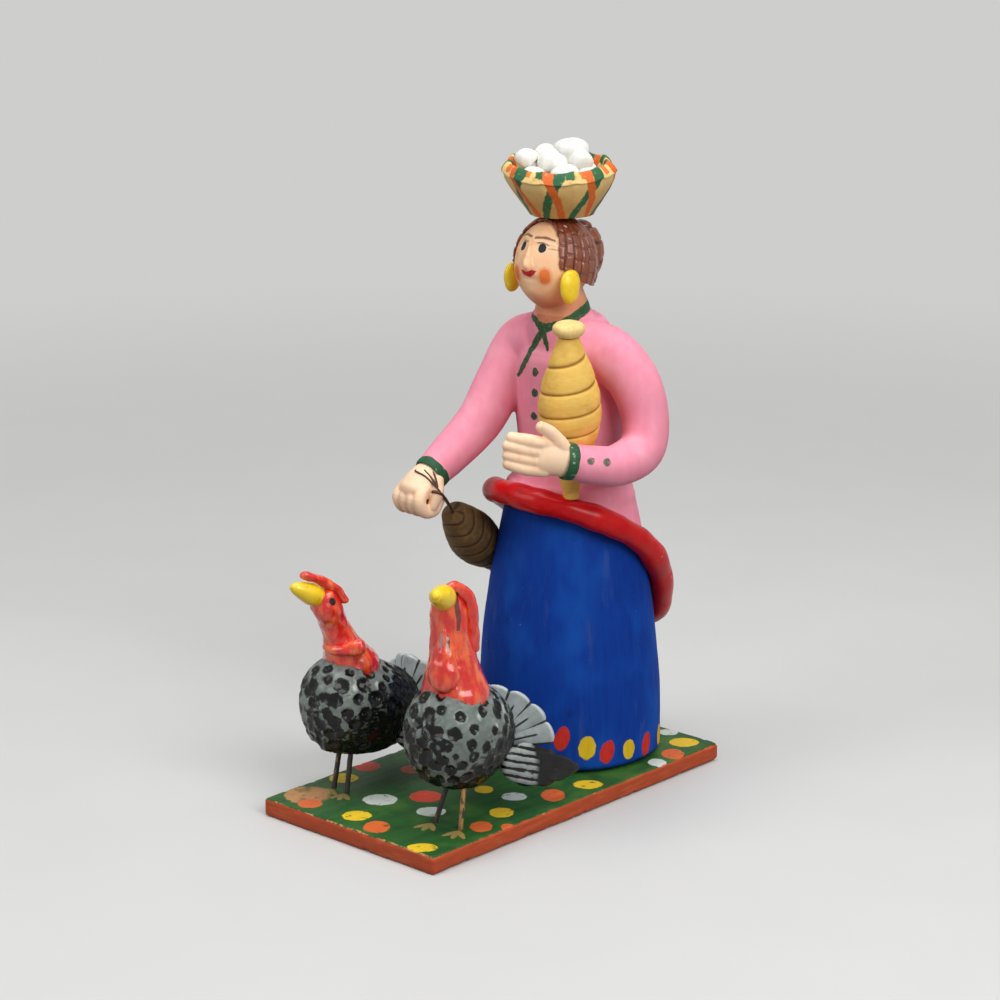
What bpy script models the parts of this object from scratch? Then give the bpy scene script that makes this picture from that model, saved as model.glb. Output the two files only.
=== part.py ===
"""Painted clay figurine: a spinner with a basket of eggs on the head and two turkeys, on a slab.

Metres, +Z up. The slab's underside is z = 0 and its middle is the origin. The spinner looks along -Y.
Each clay piece is its own closed solid, seated on its neighbour with a thin luting gap.
"""

import math

import bmesh
import bpy
from mathutils import Matrix, Vector

for old in list(bpy.data.objects):
    bpy.data.objects.remove(old, do_unlink=True)

# Luting gap between touching pieces
GAP = 0.0003

# Slab
SLAB_LENGTH = 0.148
SLAB_WIDTH = 0.080
SLAB_THICKNESS = 0.0064
SLAB_EDGE_ROUND = 0.0006
VENT_RADIUS = 0.004

# Skirt, a hollow bell
SKIRT_INSET = 0.036
SKIRT_HEIGHT = 0.0915
SKIRT_HEM_RADIUS = 0.0328
SKIRT_WAIST_RADIUS = 0.0225
SKIRT_BELL = 2.1
SKIRT_WALL = 0.005
SKIRT_CROWN = 0.007
HEM_ROUND = 0.0026

# Rolled-up overskirt, a ring that slopes down to the back
ROLL_RADIUS = 0.0043
ROLL_BITE = 0.0002
ROLL_TURN = math.radians(-3)
# Height above the slab, as a share of the skirt's, at each angle away from the front
ROLL_HEIGHTS = (
    (0, 1.0656),
    (28, 1.0514),
    (50, 1.0219),
    (72, 0.9760),
    (90, 0.9235),
    (110, 0.8437),
    (125, 0.7541),
    (140, 0.6426),
    (155, 0.5191),
    (180, 0.4372),
)

# Torso
TORSO_HEIGHT = 0.0665
TORSO_FORWARD = 0.0045
TENON_RADIUS = 0.008
TENON_LENGTH = 0.006
WAIST_HALF_WIDTH = 0.0175
WAIST_HALF_DEPTH = 0.0165
CHEST_HALF_WIDTH = 0.0190
CHEST_HALF_DEPTH = 0.0170
NECK_BASE_RADIUS = 0.0100

# Arms
SHOULDER_DROP = 0.0111
SHOULDER_RADIUS = 0.0093
ELBOW_RADIUS = 0.0075
WRIST_RADIUS = 0.0060
CUFF_RADIUS = 0.0011
CUFF_STEPS = 20
STUB_RADIUS = 0.0036
STUB_LENGTH = 0.0035
GRIP_RADIUS = 0.0016
PALM = (0.0058, 0.0042, 0.0085)
PALM_REACH = 0.0060
FINGER_RADIUS = 0.0023
FINGER_PITCH = 0.0034
FINGER_REACH = 0.0245
FIST = (0.0052, 0.0062, 0.0075)
FIST_FINGER_RADIUS = 0.0024
FIST_FINGER_PITCH = 0.0036
FIST_FINGER = ((0.0010, 0.0090), (-0.0015, 0.0135), (-0.0068, 0.0105), (-0.0066, 0.0055))
LEFT_THUMB = ((0.0030, -0.0010, 0.0040), (0.0085, -0.0010, 0.0100), (0.0108, -0.0012, 0.0155))
RIGHT_THUMB = ((0.0000, -0.0055, 0.0035), (-0.0030, -0.0072, 0.0070), (-0.0055, -0.0062, 0.0105))
THUMB_RADIUS = 0.0022
HAND_GRAIN = 0.0009
HAND_KEEP = 0.16
GRIP_REACH = 0.0095

# Head and hair
NECK_HEIGHT = 0.0056
NECK_TOP_RADIUS = 0.0075
NECK_TENON_RADIUS = 0.005
NECK_TENON_LENGTH = 0.006
HEAD_HALF_WIDTH = 0.0126
HEAD_HALF_DEPTH = 0.0136
HEAD_HALF_HEIGHT = 0.0153
HEAD_FORWARD = 0.0055
CHIN_TAPER = 0.30
NOSE = (0.0016, 0.0020, 0.0042)
NOSE_TILT = math.radians(-14)
HAIR_THICKNESS = 0.0016
HAIR_BACK = 0.0016
FACE_HALF_WIDTH = 0.0120
FACE_HALF_HEIGHT = 0.0300
HAIR_HEM_DROP = 0.0291
HAIR_HEM_FRONT_RADIUS = 0.0470
HAIR_HEM_BACK_RADIUS = 0.0099
BUN_HALF_WIDTH = 0.0095
BUN_HALF_DEPTH = 0.0065
BUN_HALF_HEIGHT = 0.0110
BUN_LIFT = 0.0032
EARRING_HALF_WIDTH = 0.0024
EARRING_HALF_DEPTH = 0.0042
EARRING_HALF_HEIGHT = 0.0059
EARRING_FORWARD = 0.0058
EARRING_DROP = 0.0054

# Basket and eggs
BASKET_HEIGHT = 0.0150
BASKET_FORWARD = 0.0026
BASKET_FOOT_RADIUS = 0.0095
BASKET_RIM_RADIUS = 0.0205
BASKET_WALL = 0.0022
BASKET_FILL = 0.0085
BASKET_FLUTES = 12
BASKET_FLUTE_DEPTH = 0.0005
BASKET_BOWL = 1.1
EGG_HALF_LENGTH = 0.0052
EGG_HALF_WIDTH = 0.0041
EGG_RING_COUNT = 6
TOP_EGG_HALF_LENGTH = 0.0068
TOP_EGG_HALF_WIDTH = 0.0050

# Distaff
DISTAFF_LENGTH = 0.058
DISTAFF_RADIUS = 0.0107
DISTAFF_NECK_RADIUS = 0.0038
DISTAFF_FOOT_RADIUS = 0.0030
DISTAFF_BELLY = 0.46
DISTAFF_TURNS = 6
DISTAFF_LEAN = (0.06, -0.10, 1.0)
DISTAFF_GROOVE = 0.0006
DISTAFF_CAP_RADIUS = 0.0054
DISTAFF_CAP_HEIGHT = 0.0046

# Spindle
SPINDLE_LENGTH = 0.040
SPINDLE_RADIUS = 0.0090
SPINDLE_TOP_RADIUS = 0.0046
SPINDLE_BELLY = 0.45
SPINDLE_TURNS = 6
SPINDLE_LEAN = (-0.12, 0.72, -0.68)
SPINDLE_GROOVE = 0.0004
SPINDLE_WIRE_RADIUS = 0.0007
SPINDLE_WIRE_DEPTH = 0.004
SPINDLE_OFFSET = (0.0010, 0.0150, -0.0098)

# Turkeys, heights above the slab and lengths back from the feet
TURKEY_HALF_WIDTH = 0.0158
TURKEY_HALF_HEIGHT = 0.0172
TURKEY_BELLY = 0.0130
TURKEY_NECK_RADIUS = 0.0105
TURKEY_THROAT_RADIUS = 0.0062
TURKEY_NECK_BACK = 0.0055
BEAK_RADIUS = 0.0040
BEAK_LENGTH = 0.0112
COMB_RADIUS = 0.0024
LEG_RADIUS = 0.0009
LEG_SOCKET = 0.0035
WING_HALF_THICKNESS = 0.0022
# Rings from the breast back: length back, shares of the half width and half height, drop of the middle
BODY_RINGS = (
    (-0.0116, 0.20, 0.20, -0.0030),
    (-0.0098, 0.55, 0.56, -0.0028),
    (-0.0046, 0.86, 0.90, -0.0022),
    (0.0040, 1.00, 1.00, -0.0004),
    (0.0130, 1.00, 0.98, 0.0024),
    (0.0220, 0.90, 0.91, 0.0052),
    (0.0295, 0.70, 0.72, 0.0092),
    (0.0350, 0.44, 0.46, 0.0132),
    (0.0370, 0.20, 0.22, 0.0148),
)
# Rings of a drooped wing: length back, distance out, level, half height, share of the half thickness
WING_RINGS = (
    (0.0190, 0.0115, 0.0225, 0.0070, 0.9),
    (0.0270, 0.0132, 0.0185, 0.0100, 1.0),
    (0.0370, 0.0152, 0.0138, 0.0070, 0.9),
    (0.0455, 0.0172, 0.0112, 0.0040, 0.7),
    (0.0525, 0.0190, 0.0100, 0.0010, 0.3),
)
FAN_RADIUS = 0.0205
FAN_THICKNESS = 0.0034
FAN_BACK = 0.0290
FAN_LEVEL = 0.0200
FAN_SWEEP = math.radians(25)
FAN_LEAN = math.radians(12)
FAN_FEATHERS = 9
FAN_NOTCH = 0.0016
TURKEYS = {
    "turkey_a": {
        "side": -0.0262,
        "inset": 0.0222,
        "turn": math.radians(-4),
        "stance": 0.0070,
        "neck_reach": -0.0100,
        "neck_height": 0.0237,
        "look": math.radians(-8),
        "beak_rise": math.radians(28),
        "beak_lift": 0.0030,
        "comb": ((0, -0.0075, 0.0112), (0, -0.0022, 0.0080), (0, 0.0032, 0.0036), (0, 0.0052, -0.0005)),
        "wattle_roll": (
            ((-0.0078, 0.0040, -0.0156), 0.0012),
            ((-0.0052, 0.0000, -0.0154), 0.0018),
            ((0.0010, -0.0018, -0.0150), 0.0022),
            ((0.0074, 0.0010, -0.0144), 0.0024),
            ((0.0098, 0.0075, -0.0138), 0.0029),
        ),
    },
    "turkey_b": {
        "side": 0.0240,
        "inset": 0.0228,
        "turn": math.radians(6),
        "stance": 0.0116,
        "neck_reach": -0.0010,
        "neck_height": 0.0285,
        "look": math.radians(26),
        "beak_rise": math.radians(20),
        "beak_lift": 0.0052,
        "comb": (
            (0, -0.0050, 0.0062),
            (0.0022, -0.0006, 0.0086),
            (0.0062, 0.0026, 0.0040),
            (0.0072, 0.0032, -0.0040),
            (0.0078, 0.0034, -0.0130),
        ),
        "wattle_drop": (
            ((0.0004, -0.0050, -0.0050), 0.0010, 0.0012),
            ((0.0005, -0.0058, -0.0075), 0.0024, 0.0022),
            ((0.0006, -0.0068, -0.0130), 0.0042, 0.0034),
            ((0.0007, -0.0078, -0.0190), 0.0056, 0.0040),
            ((0.0006, -0.0082, -0.0225), 0.0048, 0.0034),
            ((0.0005, -0.0080, -0.0245), 0.0026, 0.0018),
        ),
    },
}

# Mesh fineness
SIDES = 16
BELL_SIDES = 28

# Heights that several pieces share
SLAB_TOP = SLAB_THICKNESS
SKIRT_BACK = SLAB_LENGTH / 2 - SKIRT_INSET
SKIRT_FOOT = SLAB_TOP + GAP
WAIST_Z = SKIRT_FOOT + SKIRT_HEIGHT
TORSO_FOOT = WAIST_Z + GAP
NECK_Z = TORSO_FOOT + TORSO_HEIGHT
SHOULDER_Z = NECK_Z - SHOULDER_DROP
BODY_Y = SKIRT_BACK - TORSO_FORWARD
HEAD_Y = BODY_Y - HEAD_FORWARD
HEAD_Z = NECK_Z + GAP + NECK_HEIGHT + 0.75 * HEAD_HALF_HEIGHT
HAIR_TOP = HEAD_Z + HEAD_HALF_HEIGHT + GAP + HAIR_THICKNESS
BASKET_AXIS = Vector((0, BODY_Y - BASKET_FORWARD, 0))

PAINTS = {
    "grass_green": ((0.03, 0.13, 0.03, 1), 0.5),
    "skirt_blue": ((0.01, 0.06, 0.32, 1), 0.7),
    "roll_red": ((0.55, 0.02, 0.03, 1), 0.4),
    "bodice_pink": ((0.75, 0.18, 0.30, 1), 0.7),
    "cuff_green": ((0.03, 0.15, 0.07, 1), 0.6),
    "skin": ((0.83, 0.50, 0.34, 1), 0.6),
    "hair_brown": ((0.13, 0.04, 0.02, 1), 0.4),
    "earring_yellow": ((0.85, 0.55, 0.02, 1), 0.4),
    "basket_straw": ((0.80, 0.55, 0.18, 1), 0.6),
    "egg_white": ((0.85, 0.85, 0.82, 1), 0.5),
    "flax_ochre": ((0.72, 0.45, 0.14, 1), 0.7),
    "yarn_olive": ((0.26, 0.17, 0.07, 1), 0.6),
    "wire_brown": ((0.08, 0.05, 0.03, 1), 0.5),
    "feather_grey": ((0.22, 0.25, 0.24, 1), 0.35),
    "feather_black": ((0.02, 0.02, 0.02, 1), 0.35),
    "turkey_red": ((0.70, 0.06, 0.02, 1), 0.3),
    "beak_yellow": ((0.85, 0.60, 0.02, 1), 0.4),
    "leg_dark": ((0.05, 0.045, 0.04, 1), 0.5),
}
METALLIC_PAINTS = {"wire_brown": 0.6, "leg_dark": 0.6}


def new_collection(name):
    made = bpy.data.collections.new(name)
    bpy.context.scene.collection.children.link(made)
    return made


PARTS = new_collection("painted_clay_figurine")
CUTTERS = new_collection("cutters")


def paint(name):
    found = bpy.data.materials.get(name)
    if found:
        return found
    colour, roughness = PAINTS[name]
    made = bpy.data.materials.new(name)
    made.use_nodes = True
    shader = made.node_tree.nodes["Principled BSDF"]
    shader.inputs["Base Color"].default_value = colour
    shader.inputs["Roughness"].default_value = roughness
    shader.inputs["Metallic"].default_value = METALLIC_PAINTS.get(name, 0.0)
    return made


def new_part(name, bm, paint_name, place=Matrix(), parent=None):
    mesh = bpy.data.meshes.new(name)
    bmesh.ops.recalc_face_normals(bm, faces=bm.faces)
    bm.to_mesh(mesh)
    bm.free()
    mesh.shade_smooth()
    mesh.set_sharp_from_angle(angle=math.radians(40))
    mesh.materials.append(paint(paint_name))
    part = bpy.data.objects.new(name, mesh)
    PARTS.objects.link(part)
    part.parent = parent
    part.matrix_local = place
    return part


def hide_cutter(cutter):
    for home in list(cutter.users_collection):
        home.objects.unlink(cutter)
    CUTTERS.objects.link(cutter)
    cutter.hide_render = True
    cutter.display_type = "WIRE"


def boolean(part, cutter, operation="DIFFERENCE"):
    step = part.modifiers.new(cutter.name, "BOOLEAN")
    step.operation = operation
    step.object = cutter
    step.solver = "EXACT"
    step.use_self = True


def evaluated_mesh(part):
    bpy.context.view_layer.update()
    return bpy.data.meshes.new_from_object(part.evaluated_get(bpy.context.evaluated_depsgraph_get()))


def seat(part, *neighbours, clearance=GAP):
    """Cuts each neighbour, grown by the luting gap, out of the part, so that it sits against them."""
    for neighbour in neighbours:
        mesh = evaluated_mesh(neighbour)
        bm = bmesh.new()
        bm.from_mesh(mesh)
        bmesh.ops.remove_doubles(bm, verts=bm.verts, dist=GAP / 100)
        bm.normal_update()
        moves = [v.normal * clearance * min(v.calc_shell_factor(), 2.0) for v in bm.verts]
        for vert, move in zip(bm.verts, moves):
            vert.co += move
        bm.to_mesh(mesh)
        bm.free()
        cutter = bpy.data.objects.new(f"{part.name}_seat_on_{neighbour.name}", mesh)
        CUTTERS.objects.link(cutter)
        cutter.matrix_world = neighbour.matrix_world
        hide_cutter(cutter)
        boolean(part, cutter)


def ball(radii, centre=(0, 0, 0), turn=Matrix(), segments=SIDES, rings=12):
    bm = bmesh.new()
    add_ball(bm, radii, centre, turn, segments, rings)
    return bm


def add_ball(bm, radii, centre=(0, 0, 0), turn=Matrix(), segments=SIDES, rings=12):
    place = Matrix.Translation(centre) @ turn.to_4x4() @ Matrix.Diagonal((*radii, 1))
    bmesh.ops.create_uvsphere(bm, u_segments=segments, v_segments=rings, radius=1, matrix=place)


def add_cone(bm, low, high, low_radius, high_radius, sides=SIDES):
    low = Vector(low)
    span = Vector(high) - low
    turn = span.to_track_quat("Z", "Y").to_matrix().to_4x4()
    bmesh.ops.create_cone(
        bm,
        cap_ends=True,
        segments=sides,
        radius1=low_radius,
        radius2=high_radius,
        depth=span.length,
        matrix=Matrix.Translation(low + span / 2) @ turn,
    )


def loft(sections, sides=SIDES):
    """Closed skin over rings, each (centre, half width, half depth, turn)."""
    bm = bmesh.new()
    rings = []
    for centre, half_width, half_depth, turn in sections:
        ring = []
        for step in range(sides):
            angle = 2 * math.pi * step / sides
            flat = Vector((half_width * math.cos(angle), half_depth * math.sin(angle), 0))
            ring.append(bm.verts.new(Vector(centre) + turn @ flat))
        rings.append(ring)
    for low, high in zip(rings, rings[1:]):
        for step in range(sides):
            after = (step + 1) % sides
            bm.faces.new((low[step], low[after], high[after], high[step]))
    bm.faces.new(rings[0])
    bm.faces.new(rings[-1])
    return bm


def turned(name, profile, paint_name, steps=BELL_SIDES, place=Matrix()):
    """A profile of (radius, height) points, given from the top down, turned about Z."""
    bm = bmesh.new()
    verts = [bm.verts.new((radius, 0, height)) for radius, height in profile]
    for first, second in zip(verts, verts[1:]):
        bm.edges.new((first, second))
    if profile[0] == profile[-1]:
        bmesh.ops.remove_doubles(bm, verts=bm.verts, dist=GAP / 100)
    mesh = bpy.data.meshes.new(name)
    bm.to_mesh(mesh)
    bm.free()
    mesh.materials.append(paint(paint_name))
    part = bpy.data.objects.new(name, mesh)
    PARTS.objects.link(part)
    part.matrix_local = place
    screw = part.modifiers.new("turn", "SCREW")
    screw.steps = steps
    screw.render_steps = steps
    screw.use_merge_vertices = True
    screw.merge_threshold = GAP / 100
    screw.use_smooth_shade = True
    return part


def smooth_route(points, per_span=4):
    """Points on a smooth curve through the given ones."""
    points = [Vector(point) for point in points]
    padded = [2 * points[0] - points[1], *points, 2 * points[-1] - points[-2]]
    route = []
    for before, start, end, after in zip(padded, padded[1:], padded[2:], padded[3:]):
        for step in range(per_span):
            t = step / per_span
            route.append(
                0.5
                * (
                    2 * start
                    + (end - before) * t
                    + (2 * before - 5 * start + 4 * end - after) * t**2
                    + (3 * start - before - 3 * end + after) * t**3
                )
            )
    route.append(points[-1])
    return route


def tube(name, points, radii, paint_name, resolution=3, cyclic=False, parent=None):
    """A bevelled curve made a mesh, with one radius for each point."""
    curve = bpy.data.curves.new(name, "CURVE")
    curve.dimensions = "3D"
    curve.bevel_depth = 1.0
    curve.bevel_resolution = resolution
    curve.use_fill_caps = True
    spline = curve.splines.new("POLY")
    spline.points.add(len(points) - 1)
    spline.use_cyclic_u = cyclic
    for control, point, radius in zip(spline.points, points, radii):
        control.co = (*point, 1)
        control.radius = radius
    wire = bpy.data.objects.new(name + "_route", curve)
    CUTTERS.objects.link(wire)
    mesh = evaluated_mesh(wire)
    bpy.data.objects.remove(wire, do_unlink=True)
    bm = bmesh.new()
    bm.from_mesh(mesh)
    bmesh.ops.remove_doubles(bm, verts=bm.verts, dist=GAP / 100)
    return new_part(name, bm, paint_name, parent=parent)


def kneaded(name, bm, paint_name, place):
    """Overlapping lumps pressed into one smooth body."""
    part = new_part(name, bm, paint_name, place)
    knead = part.modifiers.new("knead", "REMESH")
    knead.mode = "VOXEL"
    knead.voxel_size = HAND_GRAIN
    ease_out = part.modifiers.new("ease", "SMOOTH")
    ease_out.factor = 0.5
    ease_out.iterations = 3
    thin = part.modifiers.new("thin", "DECIMATE")
    thin.ratio = HAND_KEEP
    return part


def skirt_radius(height):
    share = min(max((height - SKIRT_FOOT) / SKIRT_HEIGHT, 0.0), 1.0)
    return SKIRT_HEM_RADIUS - (SKIRT_HEM_RADIUS - SKIRT_WAIST_RADIUS) * share**SKIRT_BELL


def round_ring(centre, radius, turn=Matrix.Identity(3)):
    return (centre, radius, radius, turn)


def make_slab():
    bm = bmesh.new()
    size = Matrix.Diagonal((SLAB_WIDTH, SLAB_LENGTH, SLAB_THICKNESS, 1))
    bmesh.ops.create_cube(bm, size=1, matrix=Matrix.Translation((0, 0, SLAB_TOP / 2)) @ size)
    slab = new_part("base_slab", bm, "grass_green")
    edge = slab.modifiers.new("worn_edge", "BEVEL")
    edge.width = SLAB_EDGE_ROUND
    edge.segments = 2
    bm = bmesh.new()
    add_cone(bm, (0, SKIRT_BACK, -SLAB_TOP), (0, SKIRT_BACK, 2 * SLAB_TOP), VENT_RADIUS, VENT_RADIUS)
    vent = new_part("vent_cutter", bm, "grass_green")
    hide_cutter(vent)
    boolean(slab, vent)
    return slab


def make_skirt():
    levels = 7
    hem_steps = 3
    outside = []
    inside = []
    crown_foot = WAIST_Z - SKIRT_CROWN
    for level in range(levels):
        share = level / (levels - 1)
        height = WAIST_Z - (SKIRT_HEIGHT - HEM_ROUND) * share
        outside.append((skirt_radius(height), height))
        inner_height = SKIRT_FOOT + (crown_foot - SKIRT_FOOT) * share
        inside.append((skirt_radius(inner_height) - SKIRT_WALL, inner_height))
    hem = []
    for step in range(1, hem_steps + 1):
        angle = math.pi / 2 * step / hem_steps
        reach = outside[-1][0] - HEM_ROUND * (1 - math.cos(angle))
        hem.append((reach, SKIRT_FOOT + HEM_ROUND * (1 - math.sin(angle))))
    hole = TENON_RADIUS + GAP
    profile = [(hole, WAIST_Z), *outside, *hem, *inside, (hole, crown_foot), (hole, WAIST_Z)]
    return turned("skirt", profile, "skirt_blue", place=Matrix.Translation((0, SKIRT_BACK, 0)))


def roll_point(angle):
    """Middle of the roll at an angle that is 0 at the front and grows to the spinner's left."""
    away = abs((math.degrees(angle - ROLL_TURN) + 180) % 360 - 180)
    for (start, low), (end, high) in zip(ROLL_HEIGHTS, ROLL_HEIGHTS[1:]):
        if start <= away <= end:
            height = low + (high - low) * (away - start) / (end - start)
    height = SLAB_TOP + height * SKIRT_HEIGHT
    reach = skirt_radius(height) + ROLL_RADIUS - ROLL_BITE
    return Vector((reach * math.sin(angle), SKIRT_BACK - reach * math.cos(angle), height))


def make_roll(skirt, torso):
    count = 32
    points = [roll_point(2 * math.pi * step / count) for step in range(count)]
    roll = tube("overskirt_roll", points, [ROLL_RADIUS] * count, "roll_red", resolution=2, cyclic=True)
    seat(roll, skirt, torso)
    return roll


def make_torso():
    upright = Matrix.Identity(3)

    def ring(share, half_width, half_depth, forward):
        centre = (0, SKIRT_BACK - TORSO_FORWARD * forward, TORSO_FOOT + TORSO_HEIGHT * share)
        return (centre, half_width, half_depth, upright)

    hip = SKIRT_WAIST_RADIUS
    sections = [
        round_ring((0, SKIRT_BACK, TORSO_FOOT - TENON_LENGTH), TENON_RADIUS),
        round_ring((0, SKIRT_BACK, TORSO_FOOT), TENON_RADIUS),
        ring(0.0, hip, hip, 0.0),
        ring(0.10, 0.5 * (hip + WAIST_HALF_WIDTH), 0.5 * (hip + WAIST_HALF_DEPTH), 0.1),
        ring(0.26, WAIST_HALF_WIDTH, WAIST_HALF_DEPTH, 0.15),
        ring(0.50, CHEST_HALF_WIDTH, CHEST_HALF_DEPTH, 0.1),
        ring(0.78, CHEST_HALF_WIDTH, CHEST_HALF_DEPTH, 0.1),
        ring(0.88, 0.97 * CHEST_HALF_WIDTH, 0.92 * CHEST_HALF_DEPTH, 0.25),
        ring(0.94, 0.85 * CHEST_HALF_WIDTH, 0.80 * CHEST_HALF_DEPTH, 0.55),
        ring(0.975, 0.40 * CHEST_HALF_WIDTH + 0.55 * NECK_BASE_RADIUS, 0.68 * CHEST_HALF_DEPTH, 0.85),
        ring(1.0, NECK_BASE_RADIUS, NECK_BASE_RADIUS, 1.0),
    ]
    return new_part("torso", loft(sections), "bodice_pink")


SHOULDER = Vector((0, BODY_Y, SHOULDER_Z))
RIGHT_ARM_ROUTE = (
    (-0.0115, 0.0000, 0.0000),
    (-0.0188, -0.0010, -0.0035),
    (-0.0220, -0.0085, -0.0145),
    (-0.0235, -0.0190, -0.0264),
    (-0.0250, -0.0300, -0.0370),
    (-0.0257, -0.0385, -0.0431),
)
LEFT_ARM_ROUTE = (
    (0.0115, 0.0000, 0.0000),
    (0.0205, 0.0012, -0.0018),
    (0.0292, 0.0032, -0.0090),
    (0.0340, 0.0042, -0.0215),
    (0.0358, 0.0003, -0.0315),
    (0.0360, -0.0125, -0.0347),
    (0.0333, -0.0210, -0.0335),
    (0.0298, -0.0275, -0.0320),
)


def arm_route(offsets):
    return smooth_route([SHOULDER + Vector(offset) for offset in offsets], per_span=2)


def make_arm(name, offsets, torso):
    route = arm_route(offsets)
    last = len(route) - 1
    radii = []
    for step in range(len(route)):
        share = step / last
        if share < 0.5:
            radii.append(SHOULDER_RADIUS + (ELBOW_RADIUS - SHOULDER_RADIUS) * share * 2)
        else:
            radii.append(ELBOW_RADIUS + (WRIST_RADIUS - ELBOW_RADIUS) * (share * 2 - 1))
    arm = tube(name, route, radii, "bodice_pink", resolution=4)
    seat(arm, torso)
    return arm


def wrist_frame(offsets):
    """Matrix with its origin at the sleeve's end, Z along the forearm, X toward the thumb's edge."""
    route = arm_route(offsets)
    along = (route[-1] - route[-2]).normalized()
    up = Vector((0, 0, 1))
    thumb = (up - along * up.dot(along)).normalized()
    across = along.cross(thumb)
    turn = Matrix((thumb, across, along)).transposed().to_4x4()
    return Matrix.Translation(route[-1]) @ turn


def add_finger(bm, points, radius, sides=10):
    for low, high in zip(points, points[1:]):
        add_cone(bm, low, high, radius, radius, sides)
    for point in points:
        add_ball(bm, (radius, radius, radius), point, segments=sides, rings=6)


def make_left_hand(bundle, torso):
    """An open hand that lies across the distaff, thumb up."""
    place = wrist_frame(LEFT_ARM_ROUTE)
    bm = bmesh.new()
    add_cone(bm, (0, 0, -STUB_LENGTH), (0, 0, PALM_REACH), STUB_RADIUS, STUB_RADIUS)
    add_ball(bm, PALM, (0, 0, PALM_REACH))
    for finger in range(4):
        level = FINGER_PITCH * (1.5 - finger)
        tip = FINGER_REACH - 0.3 * FINGER_PITCH * abs(finger - 1)
        knuckle = (0.9 * level, 0, 0.33 * FINGER_REACH)
        bend = (level, -0.3 * FINGER_RADIUS, 0.67 * FINGER_REACH)
        add_finger(bm, (knuckle, bend, (level, 1.3 * FINGER_RADIUS, tip)), FINGER_RADIUS)
    add_finger(bm, LEFT_THUMB, THUMB_RADIUS)
    hand = kneaded("left_hand", bm, "skin", place)
    seat(hand, bundle, torso)
    return hand


GRIP = Vector((-0.0030, 0.0, 0.0080))


def make_right_hand():
    """A fist, back of the hand up, with fingers curled under toward the body."""
    place = wrist_frame(RIGHT_ARM_ROUTE)
    bm = bmesh.new()
    add_cone(bm, (0, 0, -STUB_LENGTH), (0, 0, PALM_REACH), STUB_RADIUS, STUB_RADIUS)
    add_ball(bm, FIST, (0, 0, PALM_REACH))
    for finger in range(4):
        level = FIST_FINGER_PITCH * (finger - 1.45)
        route = [(height, level, reach) for height, reach in FIST_FINGER]
        add_finger(bm, route, FIST_FINGER_RADIUS)
    add_finger(bm, RIGHT_THUMB, THUMB_RADIUS)
    hand = kneaded("right_hand", bm, "skin", place)
    bm = bmesh.new()
    reach = Vector((0, 2 * GRIP_REACH, 0))
    add_cone(bm, GRIP - reach, GRIP + reach, GRIP_RADIUS, GRIP_RADIUS, 12)
    hole = new_part("grip_cutter", bm, "skin", place)
    hide_cutter(hole)
    boolean(hand, hole)
    return hand


def make_cuff(name, offsets, *neighbours):
    route = arm_route(offsets)
    along = (route[-1] - route[-2]).normalized()
    turn = along.to_track_quat("Z", "Y").to_matrix()
    reach = WRIST_RADIUS + 0.5 * CUFF_RADIUS
    middle = route[-1] - along * CUFF_RADIUS
    points = []
    for step in range(CUFF_STEPS):
        angle = 2 * math.pi * step / CUFF_STEPS
        points.append(middle + turn @ Vector((reach * math.cos(angle), reach * math.sin(angle), 0)))
    cuff = tube(name, points, [CUFF_RADIUS] * CUFF_STEPS, "cuff_green", resolution=1, cyclic=True)
    seat(cuff, *neighbours)
    return cuff


def make_head(torso):
    neck_foot = Vector((0, BODY_Y, NECK_Z + GAP))
    neck_top = Vector((0, HEAD_Y + 0.4 * HEAD_FORWARD, HEAD_Z))
    sections = [
        round_ring(neck_foot - Vector((0, 0, NECK_TENON_LENGTH)), NECK_TENON_RADIUS),
        round_ring(neck_foot, NECK_TENON_RADIUS),
        round_ring(neck_foot, NECK_BASE_RADIUS),
        round_ring(neck_foot.lerp(neck_top, 0.5), NECK_TOP_RADIUS),
        round_ring(neck_top, NECK_TOP_RADIUS),
    ]
    neck = loft(sections)
    head = new_part("head", neck, "skin")
    skull = ball((HEAD_HALF_WIDTH, HEAD_HALF_DEPTH, HEAD_HALF_HEIGHT), segments=20, rings=12)
    for vert in skull.verts:
        below = max(-vert.co.z / HEAD_HALF_HEIGHT, 0.0)
        vert.co.x *= 1 - CHIN_TAPER * below**2
        vert.co += Vector((0, HEAD_Y, HEAD_Z))
    lump = new_part("head_skull", skull, "skin")
    hide_cutter(lump)
    boolean(head, lump, "UNION")
    nose_z = HEAD_Z - 0.10 * HEAD_HALF_HEIGHT
    nose_y = HEAD_Y - 0.96 * HEAD_HALF_DEPTH
    nose = ball(NOSE, (0, nose_y, nose_z), Matrix.Rotation(NOSE_TILT, 3, "X"), segments=10, rings=8)
    lump = new_part("head_nose", nose, "skin")
    hide_cutter(lump)
    boolean(head, lump, "UNION")
    seat(torso, head)
    return head


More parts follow.
